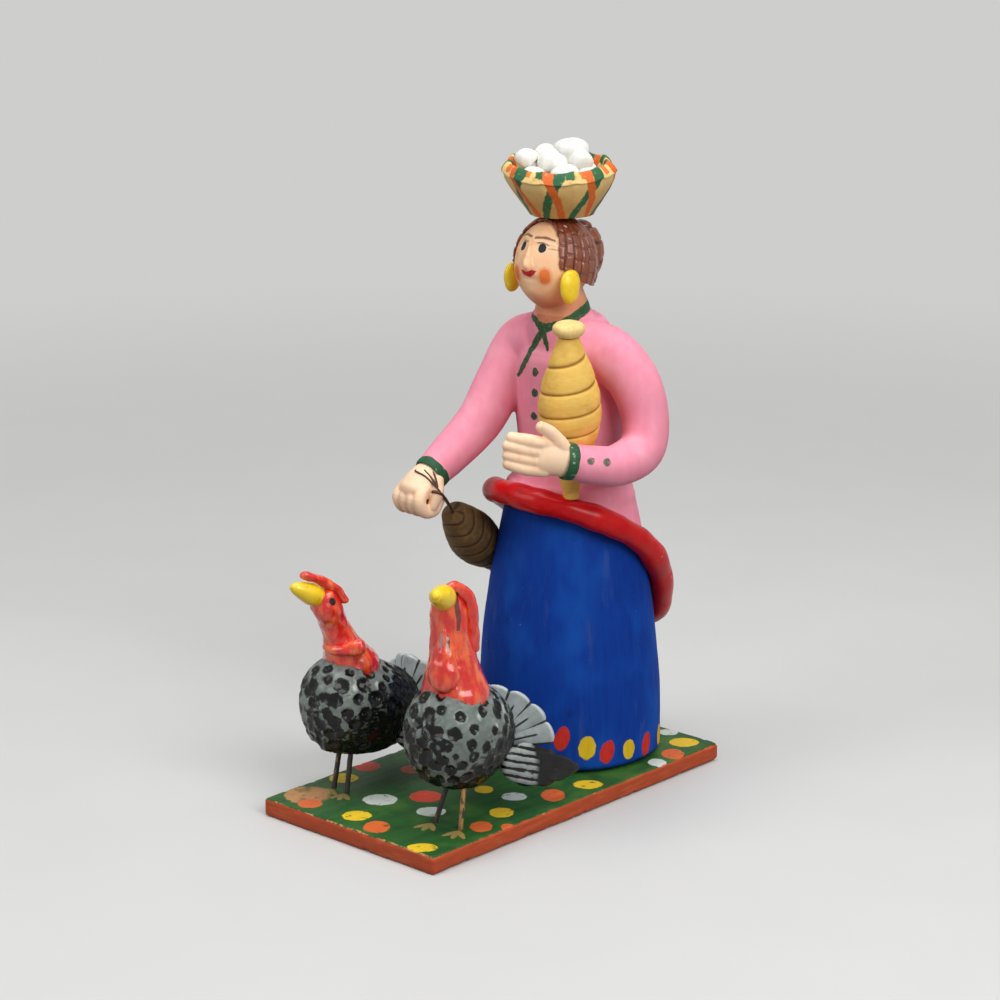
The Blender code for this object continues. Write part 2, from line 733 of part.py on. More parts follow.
def make_hair(head):
    grow = GAP + HAIR_THICKNESS
    radii = (HEAD_HALF_WIDTH + grow, HEAD_HALF_DEPTH + grow, HEAD_HALF_HEIGHT + grow)
    crown = ball(radii, (0, HEAD_Y + HAIR_BACK, HEAD_Z), segments=20, rings=12)
    cap = new_part("hair_cap", crown, "hair_brown")
    face = ball(
        (FACE_HALF_WIDTH, HEAD_HALF_DEPTH, FACE_HALF_HEIGHT),
        (0, HEAD_Y - HEAD_HALF_DEPTH, HEAD_Z - 0.25 * HEAD_HALF_HEIGHT),
        segments=20,
    )
    opening = new_part("face_cutter", face, "hair_brown")
    hide_cutter(opening)
    boolean(cap, opening)
    chin = bmesh.new()
    add_cone(
        chin,
        (0, HEAD_Y - 3 * HEAD_HALF_DEPTH, HEAD_Z - HAIR_HEM_DROP),
        (0, HEAD_Y + 3 * HEAD_HALF_DEPTH, HEAD_Z - HAIR_HEM_DROP),
        HAIR_HEM_FRONT_RADIUS,
        HAIR_HEM_BACK_RADIUS,
        24,
    )
    below = new_part("jaw_cutter", chin, "hair_brown")
    hide_cutter(below)
    boolean(cap, below)
    seat(cap, head)
    return cap


def make_bun(hair, head):
    centre = (0, HEAD_Y + HEAD_HALF_DEPTH + 0.5 * BUN_HALF_DEPTH, HEAD_Z + BUN_LIFT)
    bun = new_part(
        "hair_bun", ball((BUN_HALF_WIDTH, BUN_HALF_DEPTH, BUN_HALF_HEIGHT), centre), "hair_brown"
    )
    seat(bun, hair, head)
    return bun


def make_earring(name, side, hair, head):
    reach = HEAD_HALF_WIDTH + 0.4 * EARRING_HALF_WIDTH
    centre = (side * reach, HEAD_Y - EARRING_FORWARD, HEAD_Z - EARRING_DROP)
    earring = new_part(
        name,
        ball((EARRING_HALF_WIDTH, EARRING_HALF_DEPTH, EARRING_HALF_HEIGHT), centre, segments=12, rings=8),
        "earring_yellow",
    )
    seat(earring, hair, head)
    return earring


def make_basket(hair, head):
    foot = HAIR_TOP - 0.5 * HAIR_THICKNESS
    floor = foot + BASKET_FILL
    wall_steps = 4

    def wall(height):
        share = (height - foot) / BASKET_HEIGHT
        swell = math.sin(math.pi / 2 * share) ** BASKET_BOWL
        return BASKET_FOOT_RADIUS + (BASKET_RIM_RADIUS - BASKET_FOOT_RADIUS) * swell

    rim = foot + BASKET_HEIGHT
    lip = 0.4 * BASKET_WALL
    levels = [
        (wall(floor) - BASKET_WALL, floor),
        (BASKET_RIM_RADIUS - BASKET_WALL, rim - lip),
        (BASKET_RIM_RADIUS - 0.5 * BASKET_WALL, rim),
        (BASKET_RIM_RADIUS, rim - lip),
    ]
    for step in range(wall_steps):
        height = foot + (BASKET_HEIGHT - 2 * lip) * (1 - (step + 1) / wall_steps)
        levels.append((wall(height), height))
    sides = 2 * BASKET_FLUTES
    bm = bmesh.new()
    loops = []
    for radius, height in levels:
        loop = []
        for step in range(sides):
            angle = 2 * math.pi * step / sides
            flute = BASKET_FLUTE_DEPTH * (step % 2) * (radius / BASKET_RIM_RADIUS)
            reach = radius - flute
            spot = Vector((reach * math.cos(angle), reach * math.sin(angle), height))
            loop.append(bm.verts.new(BASKET_AXIS + spot))
        loops.append(loop)
    for high, low in zip(loops, loops[1:]):
        for step in range(sides):
            after = (step + 1) % sides
            bm.faces.new((high[step], high[after], low[after], low[step]))
    bm.faces.new(loops[0])
    bm.faces.new(loops[-1])
    basket = new_part("egg_basket", bm, "basket_straw")
    seat(basket, hair, head)
    return basket, floor


def make_eggs(basket, floor):
    """Six eggs lie in a ring, one stands in their middle and two crown the heap."""
    base = floor + GAP + EGG_HALF_WIDTH
    ring_reach = EGG_RING_COUNT * (EGG_HALF_LENGTH + GAP) / math.pi
    places = []
    for step in range(EGG_RING_COUNT):
        angle = 2 * math.pi * (step + 0.3) / EGG_RING_COUNT
        spot = Vector((ring_reach * math.cos(angle), ring_reach * math.sin(angle), base))
        places.append((spot, angle + math.pi / 2))
    core = ring_reach - EGG_HALF_WIDTH - GAP
    places.append((Vector((0, 0, base + 0.5 * EGG_HALF_WIDTH)), 0.6))
    upper = base + 1.75 * EGG_HALF_WIDTH
    places.append((Vector((-0.0058, -0.0042, upper)), 0.9))
    places.append((Vector((0.0042, 0.0030, upper + 0.0016)), 0.7))
    eggs = []
    for number, (spot, turn) in enumerate(places, start=1):
        radii = (EGG_HALF_LENGTH, EGG_HALF_WIDTH, EGG_HALF_WIDTH)
        if number == EGG_RING_COUNT + 1:
            radii = (core, core, EGG_HALF_LENGTH)
        if number == len(places):
            radii = (TOP_EGG_HALF_LENGTH, TOP_EGG_HALF_WIDTH, TOP_EGG_HALF_WIDTH)
        bm = ball(radii, BASKET_AXIS + spot, Matrix.Rotation(turn, 3, "Z"), segments=10, rings=8)
        egg = new_part(f"egg_{number}", bm, "egg_white")
        seat(egg, basket, *eggs)
        eggs.append(egg)
    return eggs


def wound_profile(length, radius_at, turns, groove):
    """Points from the top down, drawn in at the mark between two turns."""
    edge = 0.16
    profile = [(0.0, 0.0)]
    for turn in range(turns):
        marks = (0.0, 0.5, 1 - edge) if turn == 0 else (0.0, edge, 0.5, 1 - edge)
        for mark in marks:
            share = (turn + mark) / turns
            notch = groove if mark == 0 and turn else 0.0
            profile.append((radius_at(share) - notch, -length * share))
    profile.append((radius_at(1.0), -length))
    profile.append((0.0, -length))
    return profile


def ease(share):
    share = min(max(share, 0.0), 1.0)
    return share**2 * (3 - 2 * share)


def distaff_radius(share):
    swell = math.sin(math.pi / 2 * min(share / DISTAFF_BELLY, 1.0)) ** 0.6
    radius = DISTAFF_NECK_RADIUS + (DISTAFF_RADIUS - DISTAFF_NECK_RADIUS) * swell
    taper = ease((share - DISTAFF_BELLY) / (1 - DISTAFF_BELLY))
    return radius + (DISTAFF_FOOT_RADIUS - DISTAFF_RADIUS) * taper


def axis_place(top, along):
    """Matrix that sets a turned piece's top at a point, with its height running back along a direction."""
    turn = (-Vector(along)).to_track_quat("Z", "Y").to_matrix().to_4x4()
    return Matrix.Translation(top) @ turn


def make_distaff(torso, roll, left_arm):
    foot = roll_point(math.radians(42)) + Vector((0, 0, ROLL_RADIUS + GAP))
    lean = Vector(DISTAFF_LEAN).normalized()
    top = foot + lean * DISTAFF_LENGTH
    profile = wound_profile(DISTAFF_LENGTH, distaff_radius, DISTAFF_TURNS, DISTAFF_GROOVE)
    bundle = turned("distaff_bundle", profile, "flax_ochre", steps=SIDES, place=axis_place(top, -lean))
    seat(bundle, torso, roll, left_arm)
    cap_profile = [
        (0.0, DISTAFF_CAP_HEIGHT + GAP),
        (0.75 * DISTAFF_CAP_RADIUS, DISTAFF_CAP_HEIGHT + GAP),
        (DISTAFF_CAP_RADIUS, 0.7 * DISTAFF_CAP_HEIGHT),
        (DISTAFF_CAP_RADIUS, 0.4 * DISTAFF_CAP_HEIGHT),
        (0.8 * DISTAFF_CAP_RADIUS, GAP),
        (0.0, GAP),
    ]
    cap = turned("distaff_cap", cap_profile, "flax_ochre", steps=SIDES, place=axis_place(top, -lean))
    return bundle, cap


def spindle_radius(share):
    swell = math.sin(math.pi / 2 * min(share / SPINDLE_BELLY, 1.0))
    radius = SPINDLE_TOP_RADIUS + (SPINDLE_RADIUS - SPINDLE_TOP_RADIUS) * swell
    taper = ease((share - SPINDLE_BELLY) / (1 - SPINDLE_BELLY))
    return radius + (DISTAFF_FOOT_RADIUS - SPINDLE_RADIUS) * taper


def make_spindle(skirt, roll, hand_place):
    along = Vector(SPINDLE_LEAN).normalized()
    grip = hand_place @ GRIP
    outlet = hand_place @ (GRIP - Vector((0, GRIP_REACH, 0)))
    top = grip + Vector(SPINDLE_OFFSET)
    profile = wound_profile(SPINDLE_LENGTH, spindle_radius, SPINDLE_TURNS, SPINDLE_GROOVE)
    yarn = turned("spindle_yarn", profile, "yarn_olive", steps=SIDES, place=axis_place(top, along))
    seat(yarn, skirt, roll)
    route = smooth_route([grip, outlet, top, top + along * SPINDLE_WIRE_DEPTH], per_span=4)
    wire = tube("spindle_wire", route, [SPINDLE_WIRE_RADIUS] * len(route), "wire_brown", resolution=1)
    seat(yarn, wire)
    return yarn, wire


def add_fan(feathers, radius, thickness, sweep):
    """A lobed half disc in the XZ plane about its root, with both halves swept back."""
    bm = bmesh.new()
    low, high = math.radians(-12), math.radians(192)
    outline = []
    for feather in range(feathers):
        for part in (0.0, 0.3, 0.7):
            angle = low + (high - low) * (feather + part) / feathers
            reach = radius - (FAN_NOTCH if part == 0 else 0)
            outline.append((reach * math.cos(angle), reach * math.sin(angle)))
    reach = radius - FAN_NOTCH
    outline.append((reach * math.cos(high), reach * math.sin(high)))
    outline.append((0.0, -0.3 * radius))
    faces = []
    for shift in (-thickness / 2, thickness / 2):
        rim = [bm.verts.new((x, abs(x) * math.tan(sweep) + shift, z)) for x, z in outline]
        hub = bm.verts.new((0, shift, 0))
        faces.append(rim)
        for first, second in zip(rim, rim[1:] + rim[:1]):
            bm.faces.new((hub, first, second))
    front, rear = faces
    for step in range(len(front)):
        after = (step + 1) % len(front)
        bm.faces.new((front[step], front[after], rear[after], rear[step]))
    return bm


def make_turkey(name, build, slab, skirt):
    """One turkey, built about a point on the slab between its feet, beak toward -Y."""
    root = bpy.data.objects.new(name, None)
    PARTS.objects.link(root)
    root.location = (build["side"], build["inset"] - SLAB_LENGTH / 2, SLAB_TOP)
    root.rotation_euler.z = build["turn"]
    facing = Matrix.Rotation(math.radians(90), 3, "X")
    middle = TURKEY_BELLY + TURKEY_HALF_HEIGHT
    height = TURKEY_HALF_HEIGHT
    rings = []
    for back, wide, tall, drop in BODY_RINGS:
        rings.append(((0, back, middle - drop), wide * TURKEY_HALF_WIDTH, tall * height, facing))
    body = new_part(f"{name}_body", loft(rings), "feather_grey", parent=root)

    neck_foot = Vector((0, TURKEY_NECK_BACK, middle + 0.84 * height))
    head_centre = neck_foot + Vector((0, build["neck_reach"], build["neck_height"]))
    neck_radius = TURKEY_NECK_RADIUS
    throat = TURKEY_THROAT_RADIUS
    neck_skin = loft(
        [
            round_ring(neck_foot - Vector((0, 0, 0.006)), 0.9 * neck_radius),
            round_ring(neck_foot, neck_radius),
            round_ring(neck_foot.lerp(head_centre, 0.25), 0.88 * neck_radius),
            round_ring(neck_foot.lerp(head_centre, 0.60), 1.08 * throat),
            round_ring(head_centre, throat),
            round_ring(head_centre + Vector((0, 0, 0.6 * throat)), 0.8 * throat),
            round_ring(head_centre + Vector((0, 0, 0.95 * throat)), 0.35 * throat),
        ]
    )
    head = new_part(f"{name}_head", neck_skin, "turkey_red", parent=root)

    look = Matrix.Rotation(build["look"], 3, "Z")
    ahead = look @ Vector((0, -1, 0))
    rise = build["beak_rise"]
    beak_way = ahead * math.cos(rise) + Vector((0, 0, math.sin(rise)))
    beak_root = head_centre + ahead * 0.55 * throat + Vector((0, 0, build["beak_lift"]))
    bill = beak_way.to_track_quat("Z", "Y").to_matrix()
    beak_skin = loft(
        [
            round_ring(beak_root, 0.9 * BEAK_RADIUS, bill),
            round_ring(beak_root + beak_way * 0.25 * BEAK_LENGTH, BEAK_RADIUS, bill),
            round_ring(beak_root + beak_way * 0.62 * BEAK_LENGTH, 0.78 * BEAK_RADIUS, bill),
            round_ring(beak_root + beak_way * 0.92 * BEAK_LENGTH, 0.46 * BEAK_RADIUS, bill),
            round_ring(beak_root + beak_way * BEAK_LENGTH, 0.16 * BEAK_RADIUS, bill),
        ],
        12,
    )
    beak = new_part(f"{name}_beak", beak_skin, "beak_yellow", parent=root)
    seat(beak, head)

    comb_route = smooth_route([head_centre + look @ Vector(point) for point in build["comb"]], per_span=3)
    comb_radii = []
    for step in range(1, len(comb_route) + 1):
        swell = math.sin(math.pi * step / (len(comb_route) + 1))
        comb_radii.append(COMB_RADIUS * (0.55 + 0.45 * swell))
    comb = tube(f"{name}_comb", comb_route, comb_radii, "turkey_red", 1, parent=root)
    seat(comb, head, beak, body)

    if "wattle_roll" in build:
        stops = build["wattle_roll"]
        wattle_route = smooth_route([head_centre + look @ Vector(point) for point, _ in stops], per_span=2)
        wattle_radii = [stops[0][1]]
        for (_, first), (_, second) in zip(stops, stops[1:]):
            wattle_radii += [(first + second) / 2, second]
        wattle = tube(f"{name}_wattle", wattle_route, wattle_radii, "turkey_red", 2, parent=root)
    else:
        rings = []
        for point, wide, deep in build["wattle_drop"]:
            rings.append((head_centre + look @ Vector(point), wide, deep, look))
        wattle_skin = loft(rings)
        wattle = new_part(f"{name}_wattle", wattle_skin, "turkey_red", parent=root)
    seat(wattle, head, beak, body, comb)
    seat(head, body)

    fan_skin = add_fan(FAN_FEATHERS, FAN_RADIUS, FAN_THICKNESS, FAN_SWEEP)
    fan_root = Vector((0, FAN_BACK, FAN_LEVEL))
    fan_place = Matrix.Translation(fan_root) @ Matrix.Rotation(-FAN_LEAN, 4, "X")
    fan = new_part(f"{name}_tail", fan_skin, "feather_grey", fan_place, root)
    seat(fan, body)

    for side, word in ((-1, "right"), (1, "left")):
        rings = []
        for back, out, level, tall, thick in WING_RINGS:
            rings.append(((side * out, back, level), thick * WING_HALF_THICKNESS, tall, facing))
        wing = new_part(f"{name}_{word}_wing", loft(rings, 12), "feather_black", parent=root)
        seat(wing, body, fan, skirt)

    for side, word in ((-1, "right"), (1, "left")):
        half = side * build["stance"] / 2
        foot = Vector((half, 0.0, -LEG_SOCKET))
        hip = Vector((0.8 * half, 0.0035, TURKEY_BELLY + LEG_SOCKET))
        route = smooth_route([foot, foot.lerp(hip, 0.6), hip], per_span=2)
        leg = tube(f"{name}_{word}_leg", route, [LEG_RADIUS] * len(route), "leg_dark", 1, parent=root)
        seat(slab, leg)
        seat(body, leg)


slab = make_slab()
skirt = make_skirt()
torso = make_torso()
head = make_head(torso)
roll = make_roll(skirt, torso)
right_arm = make_arm("right_arm", RIGHT_ARM_ROUTE, torso)
left_arm = make_arm("left_arm", LEFT_ARM_ROUTE, torso)
bundle, cap = make_distaff(torso, roll, left_arm)
left_hand = make_left_hand(bundle, torso)
right_hand = make_right_hand()
seat(left_arm, left_hand)
seat(right_arm, right_hand)
make_cuff("left_cuff", LEFT_ARM_ROUTE, left_arm, left_hand, bundle)
make_cuff("right_cuff", RIGHT_ARM_ROUTE, right_arm, right_hand)
yarn, spindle_wire = make_spindle(skirt, roll, wrist_frame(RIGHT_ARM_ROUTE))
seat(right_hand, spindle_wire)
hair = make_hair(head)
make_bun(hair, head)
make_earring("right_earring", -1, hair, head)
make_earring("left_earring", 1, hair, head)
basket, basket_floor = make_basket(hair, head)
make_eggs(basket, basket_floor)
for turkey, build in TURKEYS.items():
    make_turkey(turkey, build, slab, skirt)
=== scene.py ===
import math

import bpy
import numpy as np
from mathutils import Matrix, Vector, noise


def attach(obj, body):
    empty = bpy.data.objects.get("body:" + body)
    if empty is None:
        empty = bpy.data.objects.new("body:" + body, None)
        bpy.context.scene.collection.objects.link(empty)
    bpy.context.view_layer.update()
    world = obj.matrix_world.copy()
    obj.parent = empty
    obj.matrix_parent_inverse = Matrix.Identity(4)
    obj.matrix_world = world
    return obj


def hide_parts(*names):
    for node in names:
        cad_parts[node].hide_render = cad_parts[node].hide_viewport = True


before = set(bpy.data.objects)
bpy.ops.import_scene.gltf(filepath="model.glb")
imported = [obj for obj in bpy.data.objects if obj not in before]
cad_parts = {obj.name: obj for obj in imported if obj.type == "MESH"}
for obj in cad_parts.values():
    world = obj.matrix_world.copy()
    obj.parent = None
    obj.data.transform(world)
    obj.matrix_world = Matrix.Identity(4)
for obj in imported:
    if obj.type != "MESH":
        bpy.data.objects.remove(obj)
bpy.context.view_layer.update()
mm = 0.001


def clearSelection():
    if bpy.context.object and bpy.context.object.mode != "OBJECT":
        bpy.ops.object.mode_set(mode="OBJECT")
    bpy.ops.object.select_all(action="DESELECT")


def pick(piece):
    clearSelection()
    piece.select_set(True)
    bpy.context.view_layer.objects.active = piece


def applyModifier(piece, kind, **settings):
    pick(piece)
    step = piece.modifiers.new(kind.lower(), kind)
    for key, value in settings.items():
        setattr(step, key, value)
    bpy.ops.object.modifier_apply(modifier=step.name)


def spotsOf(piece, what="co"):
    flat = np.empty(3 * len(piece.data.vertices))
    piece.data.vertices.foreach_get(what, flat)
    return flat.reshape(-1, 3)


def moveSpots(piece, spots):
    piece.data.vertices.foreach_set("co", np.asarray(spots, float).ravel())
    piece.data.update()


# moves a skin along its normals, by a lift in mm at each point
def pushOut(piece, lift):
    moveSpots(piece, spotsOf(piece) + spotsOf(piece, "normal") * (lift * mm)[:, None])


def faceOut(piece):
    pick(piece)
    bpy.ops.object.mode_set(mode="EDIT")
    bpy.ops.mesh.select_all(action="SELECT")
    bpy.ops.mesh.normals_make_consistent(inside=False)
    bpy.ops.object.mode_set(mode="OBJECT")
    bpy.ops.object.shade_smooth()


def joinPieces(name, pieces):
    clearSelection()
    for piece in pieces:
        piece.select_set(True)
    bpy.context.view_layer.objects.active = pieces[0]
    bpy.ops.object.join()
    pieces[0].name = name
    return pieces[0]


# overlapping lumps pressed into one skin, as wet clay is
def press(piece, grain, rounds):
    applyModifier(piece, "REMESH", mode="VOXEL", voxel_size=grain * mm)
    applyModifier(piece, "SMOOTH", factor=0.5, iterations=rounds)
    pick(piece)
    bpy.ops.object.shade_smooth()
    return piece


# a CAD node's mesh as a start for a finer piece
def copyNode(name, node):
    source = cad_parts[node]
    piece = bpy.data.objects.new(name, source.data.copy())
    bpy.context.scene.collection.objects.link(piece)
    pick(piece)
    bpy.ops.object.mode_set(mode="EDIT")
    bpy.ops.mesh.select_all(action="SELECT")
    bpy.ops.mesh.remove_doubles(threshold=0.002 * mm)
    bpy.ops.object.mode_set(mode="OBJECT")
    return piece


# a ball is pulled into shape: t runs from 0 to 1 down from its pole, a is the angle round it
def mould(name, segments, rings, shape):
    clearSelection()
    bpy.ops.mesh.primitive_uv_sphere_add(segments=segments, ring_count=rings, radius=1)
    piece = bpy.context.object
    piece.name = name
    ball = spotsOf(piece)
    t = np.round(np.arccos(np.clip(ball[:, 2], -1, 1)) / math.pi * rings) / rings
    a = np.arctan2(ball[:, 1], ball[:, 0])
    moveSpots(piece, np.stack(shape(t, a), axis=1) * mm)
    faceOut(piece)
    return piece


# rows of (radius, height) in mm, turned about an upright axis
def turned(name, outline, segments, axis=(0, 0)):
    outline = np.array(outline)

    def shape(t, a):
        row = outline[np.round(t * (len(outline) - 1)).astype(int)]
        return axis[0] + row[:, 0] * np.cos(a), axis[1] + row[:, 0] * np.sin(a), row[:, 1]

    return mould(name, segments, len(outline) - 1, shape)


# a smooth line through rows of numbers, each row a point and what goes with it
def smoothRows(rows, count):
    rows = np.asarray(rows, float)
    padded = np.vstack([2 * rows[0] - rows[1], rows, 2 * rows[-1] - rows[-2]])
    run = np.concatenate([[0], np.cumsum(np.linalg.norm(np.diff(rows[:, :3], axis=0), axis=1))])
    found = []
    for place in np.linspace(0, run[-1], count):
        k = min(np.searchsorted(run, place, side="right") - 1, len(rows) - 2)
        u = (place - run[k]) / (run[k + 1] - run[k])
        p0, p1, p2, p3 = padded[k:k + 4]
        bend = (2 * p0 - 5 * p1 + 4 * p2 - p3) * u**2 + (3 * p1 - p0 - 3 * p2 + p3) * u**3
        found.append(0.5 * (2 * p1 + (p2 - p0) * u + bend))
    return np.array(found)


# rows are (x, y, z, half width, half depth) in mm; the half width lies towards side
def limb(name, rows, segments=32, rings=56, side=(1, 0, 0), bulge=(0.8, 0.8), caps=7):
    line = smoothRows(rows, rings - 2 * caps + 1)
    way = np.gradient(line[:, :3], axis=0)
    way /= np.linalg.norm(way, axis=1)[:, None]
    across = np.array(side, float)
    sides = []
    for step in way:
        across = across - step * across.dot(step)
        across /= np.linalg.norm(across)
        sides.append(across)
    sides = np.array(sides)
    ups = np.cross(way, sides)
    centres, grow, index = [], [], []
    for ring in range(rings + 1):
        near = min(ring, rings - ring)
        k = min(max(ring - caps, 0), len(line) - 1)
        turn = min(near / caps, 1) * math.pi / 2
        end = 0 if ring < rings / 2 else 1
        reach = bulge[end] * min(line[k, 3], line[k, 4]) * math.cos(turn)
        centres.append(line[k, :3] + way[k] * reach * (2 * end - 1))
        grow.append(math.sin(turn))
        index.append(k)
    centres, grow, index = np.array(centres), np.array(grow), np.array(index)

    def shape(t, a):
        ring = np.round(t * rings).astype(int)
        k = index[ring]
        wide = (line[k, 3] * grow[ring] * np.cos(a))[:, None] * sides[k]
        deep = (line[k, 4] * grow[ring] * np.sin(a))[:, None] * ups[k]
        return (centres[ring] + wide + deep).T

    return mould(name, segments, rings, shape)


# uneven hand work: lumps are (size, depth, seed), sizes and depths in mm
def knead(piece, lumps, seed=0):
    for size, depth, own in lumps:
        shift = (own + seed) * Vector((1, 2, 3))
        lift = [noise.noise(Vector(spot) / (size * mm) + shift) for spot in spotsOf(piece)]
        pushOut(piece, depth * np.array(lift))


def store(piece, name, values):
    field = piece.data.attributes.new(name, "FLOAT", "POINT")
    field.data.foreach_set("value", np.asarray(values, np.float32))


# 1 on each whole number, falling away over a share of half a step
def grooves(value, width):
    return np.exp(-((np.abs(value - np.round(value)) * 2) / width) ** 2)


def ease(share):
    share = np.clip(share, 0, 1)
    return share**2 * (3 - 2 * share)


# distance in mm to a painted stroke's edge; a stroke is a row of (x, y, z, half width)
def strokeField(spots, strokes):
    spots = spots / mm
    best = np.full(len(spots), 1e3)
    for stroke in strokes:
        stroke = np.asarray(stroke, float)
        for start, end in zip(stroke, stroke[1:] if len(stroke) > 1 else stroke):
            span = end[:3] - start[:3]
            length = max(span.dot(span), 1e-9)
            u = np.clip((spots - start[:3]) @ span / length, 0, 1)
            away = np.linalg.norm(spots - start[:3] - u[:, None] * span, axis=1)
            best = np.minimum(best, away - start[3] - u * (end[3] - start[3]))
    return best


def settle(piece, slot, paint, *nodes):
    piece.data.materials.clear()
    piece.data.materials.append(paint)
    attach(piece, "root")
    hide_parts(*nodes)


# one output of a node, so that shader maths reads as plain sums
class Flow:
    def __init__(self, finish, socket):
        self.finish = finish
        self.socket = socket

    def join(self, kind, other, swap=False):
        first, second = (other, self) if swap else (self, other)
        return self.finish.node("ShaderNodeMath", {"operation": kind}, {0: first, 1: second})

    def __add__(self, other):
        return self.join("ADD", other)

    __radd__ = __add__

    def __sub__(self, other):
        return self.join("SUBTRACT", other)

    def __rsub__(self, other):
        return self.join("SUBTRACT", other, True)

    def __mul__(self, other):
        return self.join("MULTIPLY", other)

    __rmul__ = __mul__


class Finish:
    def __init__(self, name, **fixed):
        self.material = bpy.data.materials.new(name)
        self.material.use_nodes = True
        self.tree = self.material.node_tree
        self.shader = self.tree.nodes["Principled BSDF"]
        for key, value in fixed.items():
            self.shader.inputs[key.replace("_", " ")].default_value = value
        self.place = self.node("ShaderNodeTexCoord", out="Object")

    def node(self, kind, settings=None, sockets=None, out=0):
        made = self.tree.nodes.new(kind)
        for key, value in (settings or {}).items():
            setattr(made, key, value)
        for key, value in (sockets or {}).items():
            if isinstance(value, Flow):
                self.tree.links.new(value.socket, made.inputs[key])
            else:
                made.inputs[key].default_value = value
        return Flow(self, made.outputs[out])

    def level(self):
        return self.node("ShaderNodeSeparateXYZ", sockets={0: self.place}, out=2)

    # cloudy values from 0 to 1, sizes in mm along X, Y and Z
    def cloud(self, size, seed=0, detail=2.0, turn=0.0):
        size = size if isinstance(size, tuple) else (size, size, size)
        scale = tuple(1 / (part * mm) for part in size)
        drift = (seed * 7.3, seed * 3.1, seed * 5.7)
        moved = self.node(
            "ShaderNodeMapping", sockets={0: self.place, 1: drift, 2: (0, 0, turn), 3: scale}
        )
        return self.node("ShaderNodeTexNoise", sockets={"Vector": moved, "Scale": 1.0, "Detail": detail})

    def step(self, value, low, high):
        return self.node(
            "ShaderNodeMapRange",
            {"interpolation_type": "SMOOTHSTEP"},
            {"Value": value, "From Min": low, "From Max": high},
        )

    def mix(self, factor, first, second):
        return self.node(
            "ShaderNodeMix", {"data_type": "RGBA"}, {0: factor, 6: first, 7: second}, out=2
        )

    # 0 in the middle of an oval, 1 at its edge; places and radii in mm
    def oval(self, centre, radii, turn=0.0, lean=0.0):
        moved = self.node(
            "ShaderNodeMapping",
            {"vector_type": "TEXTURE"},
            {
                0: self.place,
                1: tuple(part * mm for part in centre),
                2: (0, lean, turn),
                3: tuple(part * mm for part in radii),
            },
        )
        return self.node("ShaderNodeVectorMath", {"operation": "LENGTH"}, {0: moved}, out="Value")

    def least(self, flows):
        found = flows[0]
        for flow in flows[1:]:
            found = found.join("MINIMUM", flow)
        return found

    def field(self, name):
        return self.node("ShaderNodeAttribute", {"attribute_name": name}, out="Fac")

    def done(self, colour, rough, bump=None, height=0.1, coat=None, metal=None):
        self.tree.links.new(colour.socket, self.shader.inputs["Base Color"])
        self.tree.links.new(rough.socket, self.shader.inputs["Roughness"])
        if bump is not None:
            tilt = self.node(
                "ShaderNodeBump", sockets={"Strength": 1.0, "Distance": height * mm, "Height": bump}
            )
            self.tree.links.new(tilt.socket, self.shader.inputs["Normal"])
        if coat is not None:
            self.tree.links.new(coat.socket, self.shader.inputs["Coat Weight"])
        if metal is not None:
            self.tree.links.new(metal.socket, self.shader.inputs["Metallic"])
        return self.material


# a tone as a colour picker shows it
def tone(red, green, blue):
    linear = []
    for part in (red, green, blue):
        share = part / 255
        linear.append(share / 12.92 if share <= 0.04045 else ((share + 0.055) / 1.055) ** 2.4)
    return (*linear, 1.0)


# camera
shot = {
    "azimuth": 42.614,
    "elevation": 15.344,
    "distance": 1.02656,
    "target": (0.000642, 0.000856, 0.104406),
    "lens": 108,
    "sensor": 36,
    "near": 0.01,
}


def placeCamera():
    azimuth = math.radians(shot["azimuth"])
    elevation = math.radians(shot["elevation"])
    away = Vector((
        math.sin(azimuth) * math.cos(elevation),
        -math.cos(azimuth) * math.cos(elevation),
        math.sin(elevation),
    ))
    clearSelection()
    bpy.ops.object.camera_add(location=Vector(shot["target"]) + away * shot["distance"])
    camera = bpy.context.object
    camera.rotation_euler = (-away).to_track_quat("-Z", "Y").to_euler()
    camera.data.lens = shot["lens"]
    camera.data.sensor_width = shot["sensor"]
    camera.data.clip_start = shot["near"]
    bpy.context.scene.camera = camera


placeCamera()
print("camera in place")


# slab
slabLook = {
    "size": (80, 148, 6.4),
    "bevel": 0.4,
    "grain": 0.8,
    "ventPlace": (0, 38),
    "ventRadius": 4,
    "ventDepth": 30,
    "rimReach": 2.5,
    "wave": 0.25,
    "waveSize": 11,
    "chip": 1.5,
    "chipSize": 2.6,
    "chipFrom": 0.12,
    "chipReach": 1.6,
    "chipDrift": (5, 1, 2),
    "dotTurn": 42.614,
}
slabTop = slabLook["size"][2]


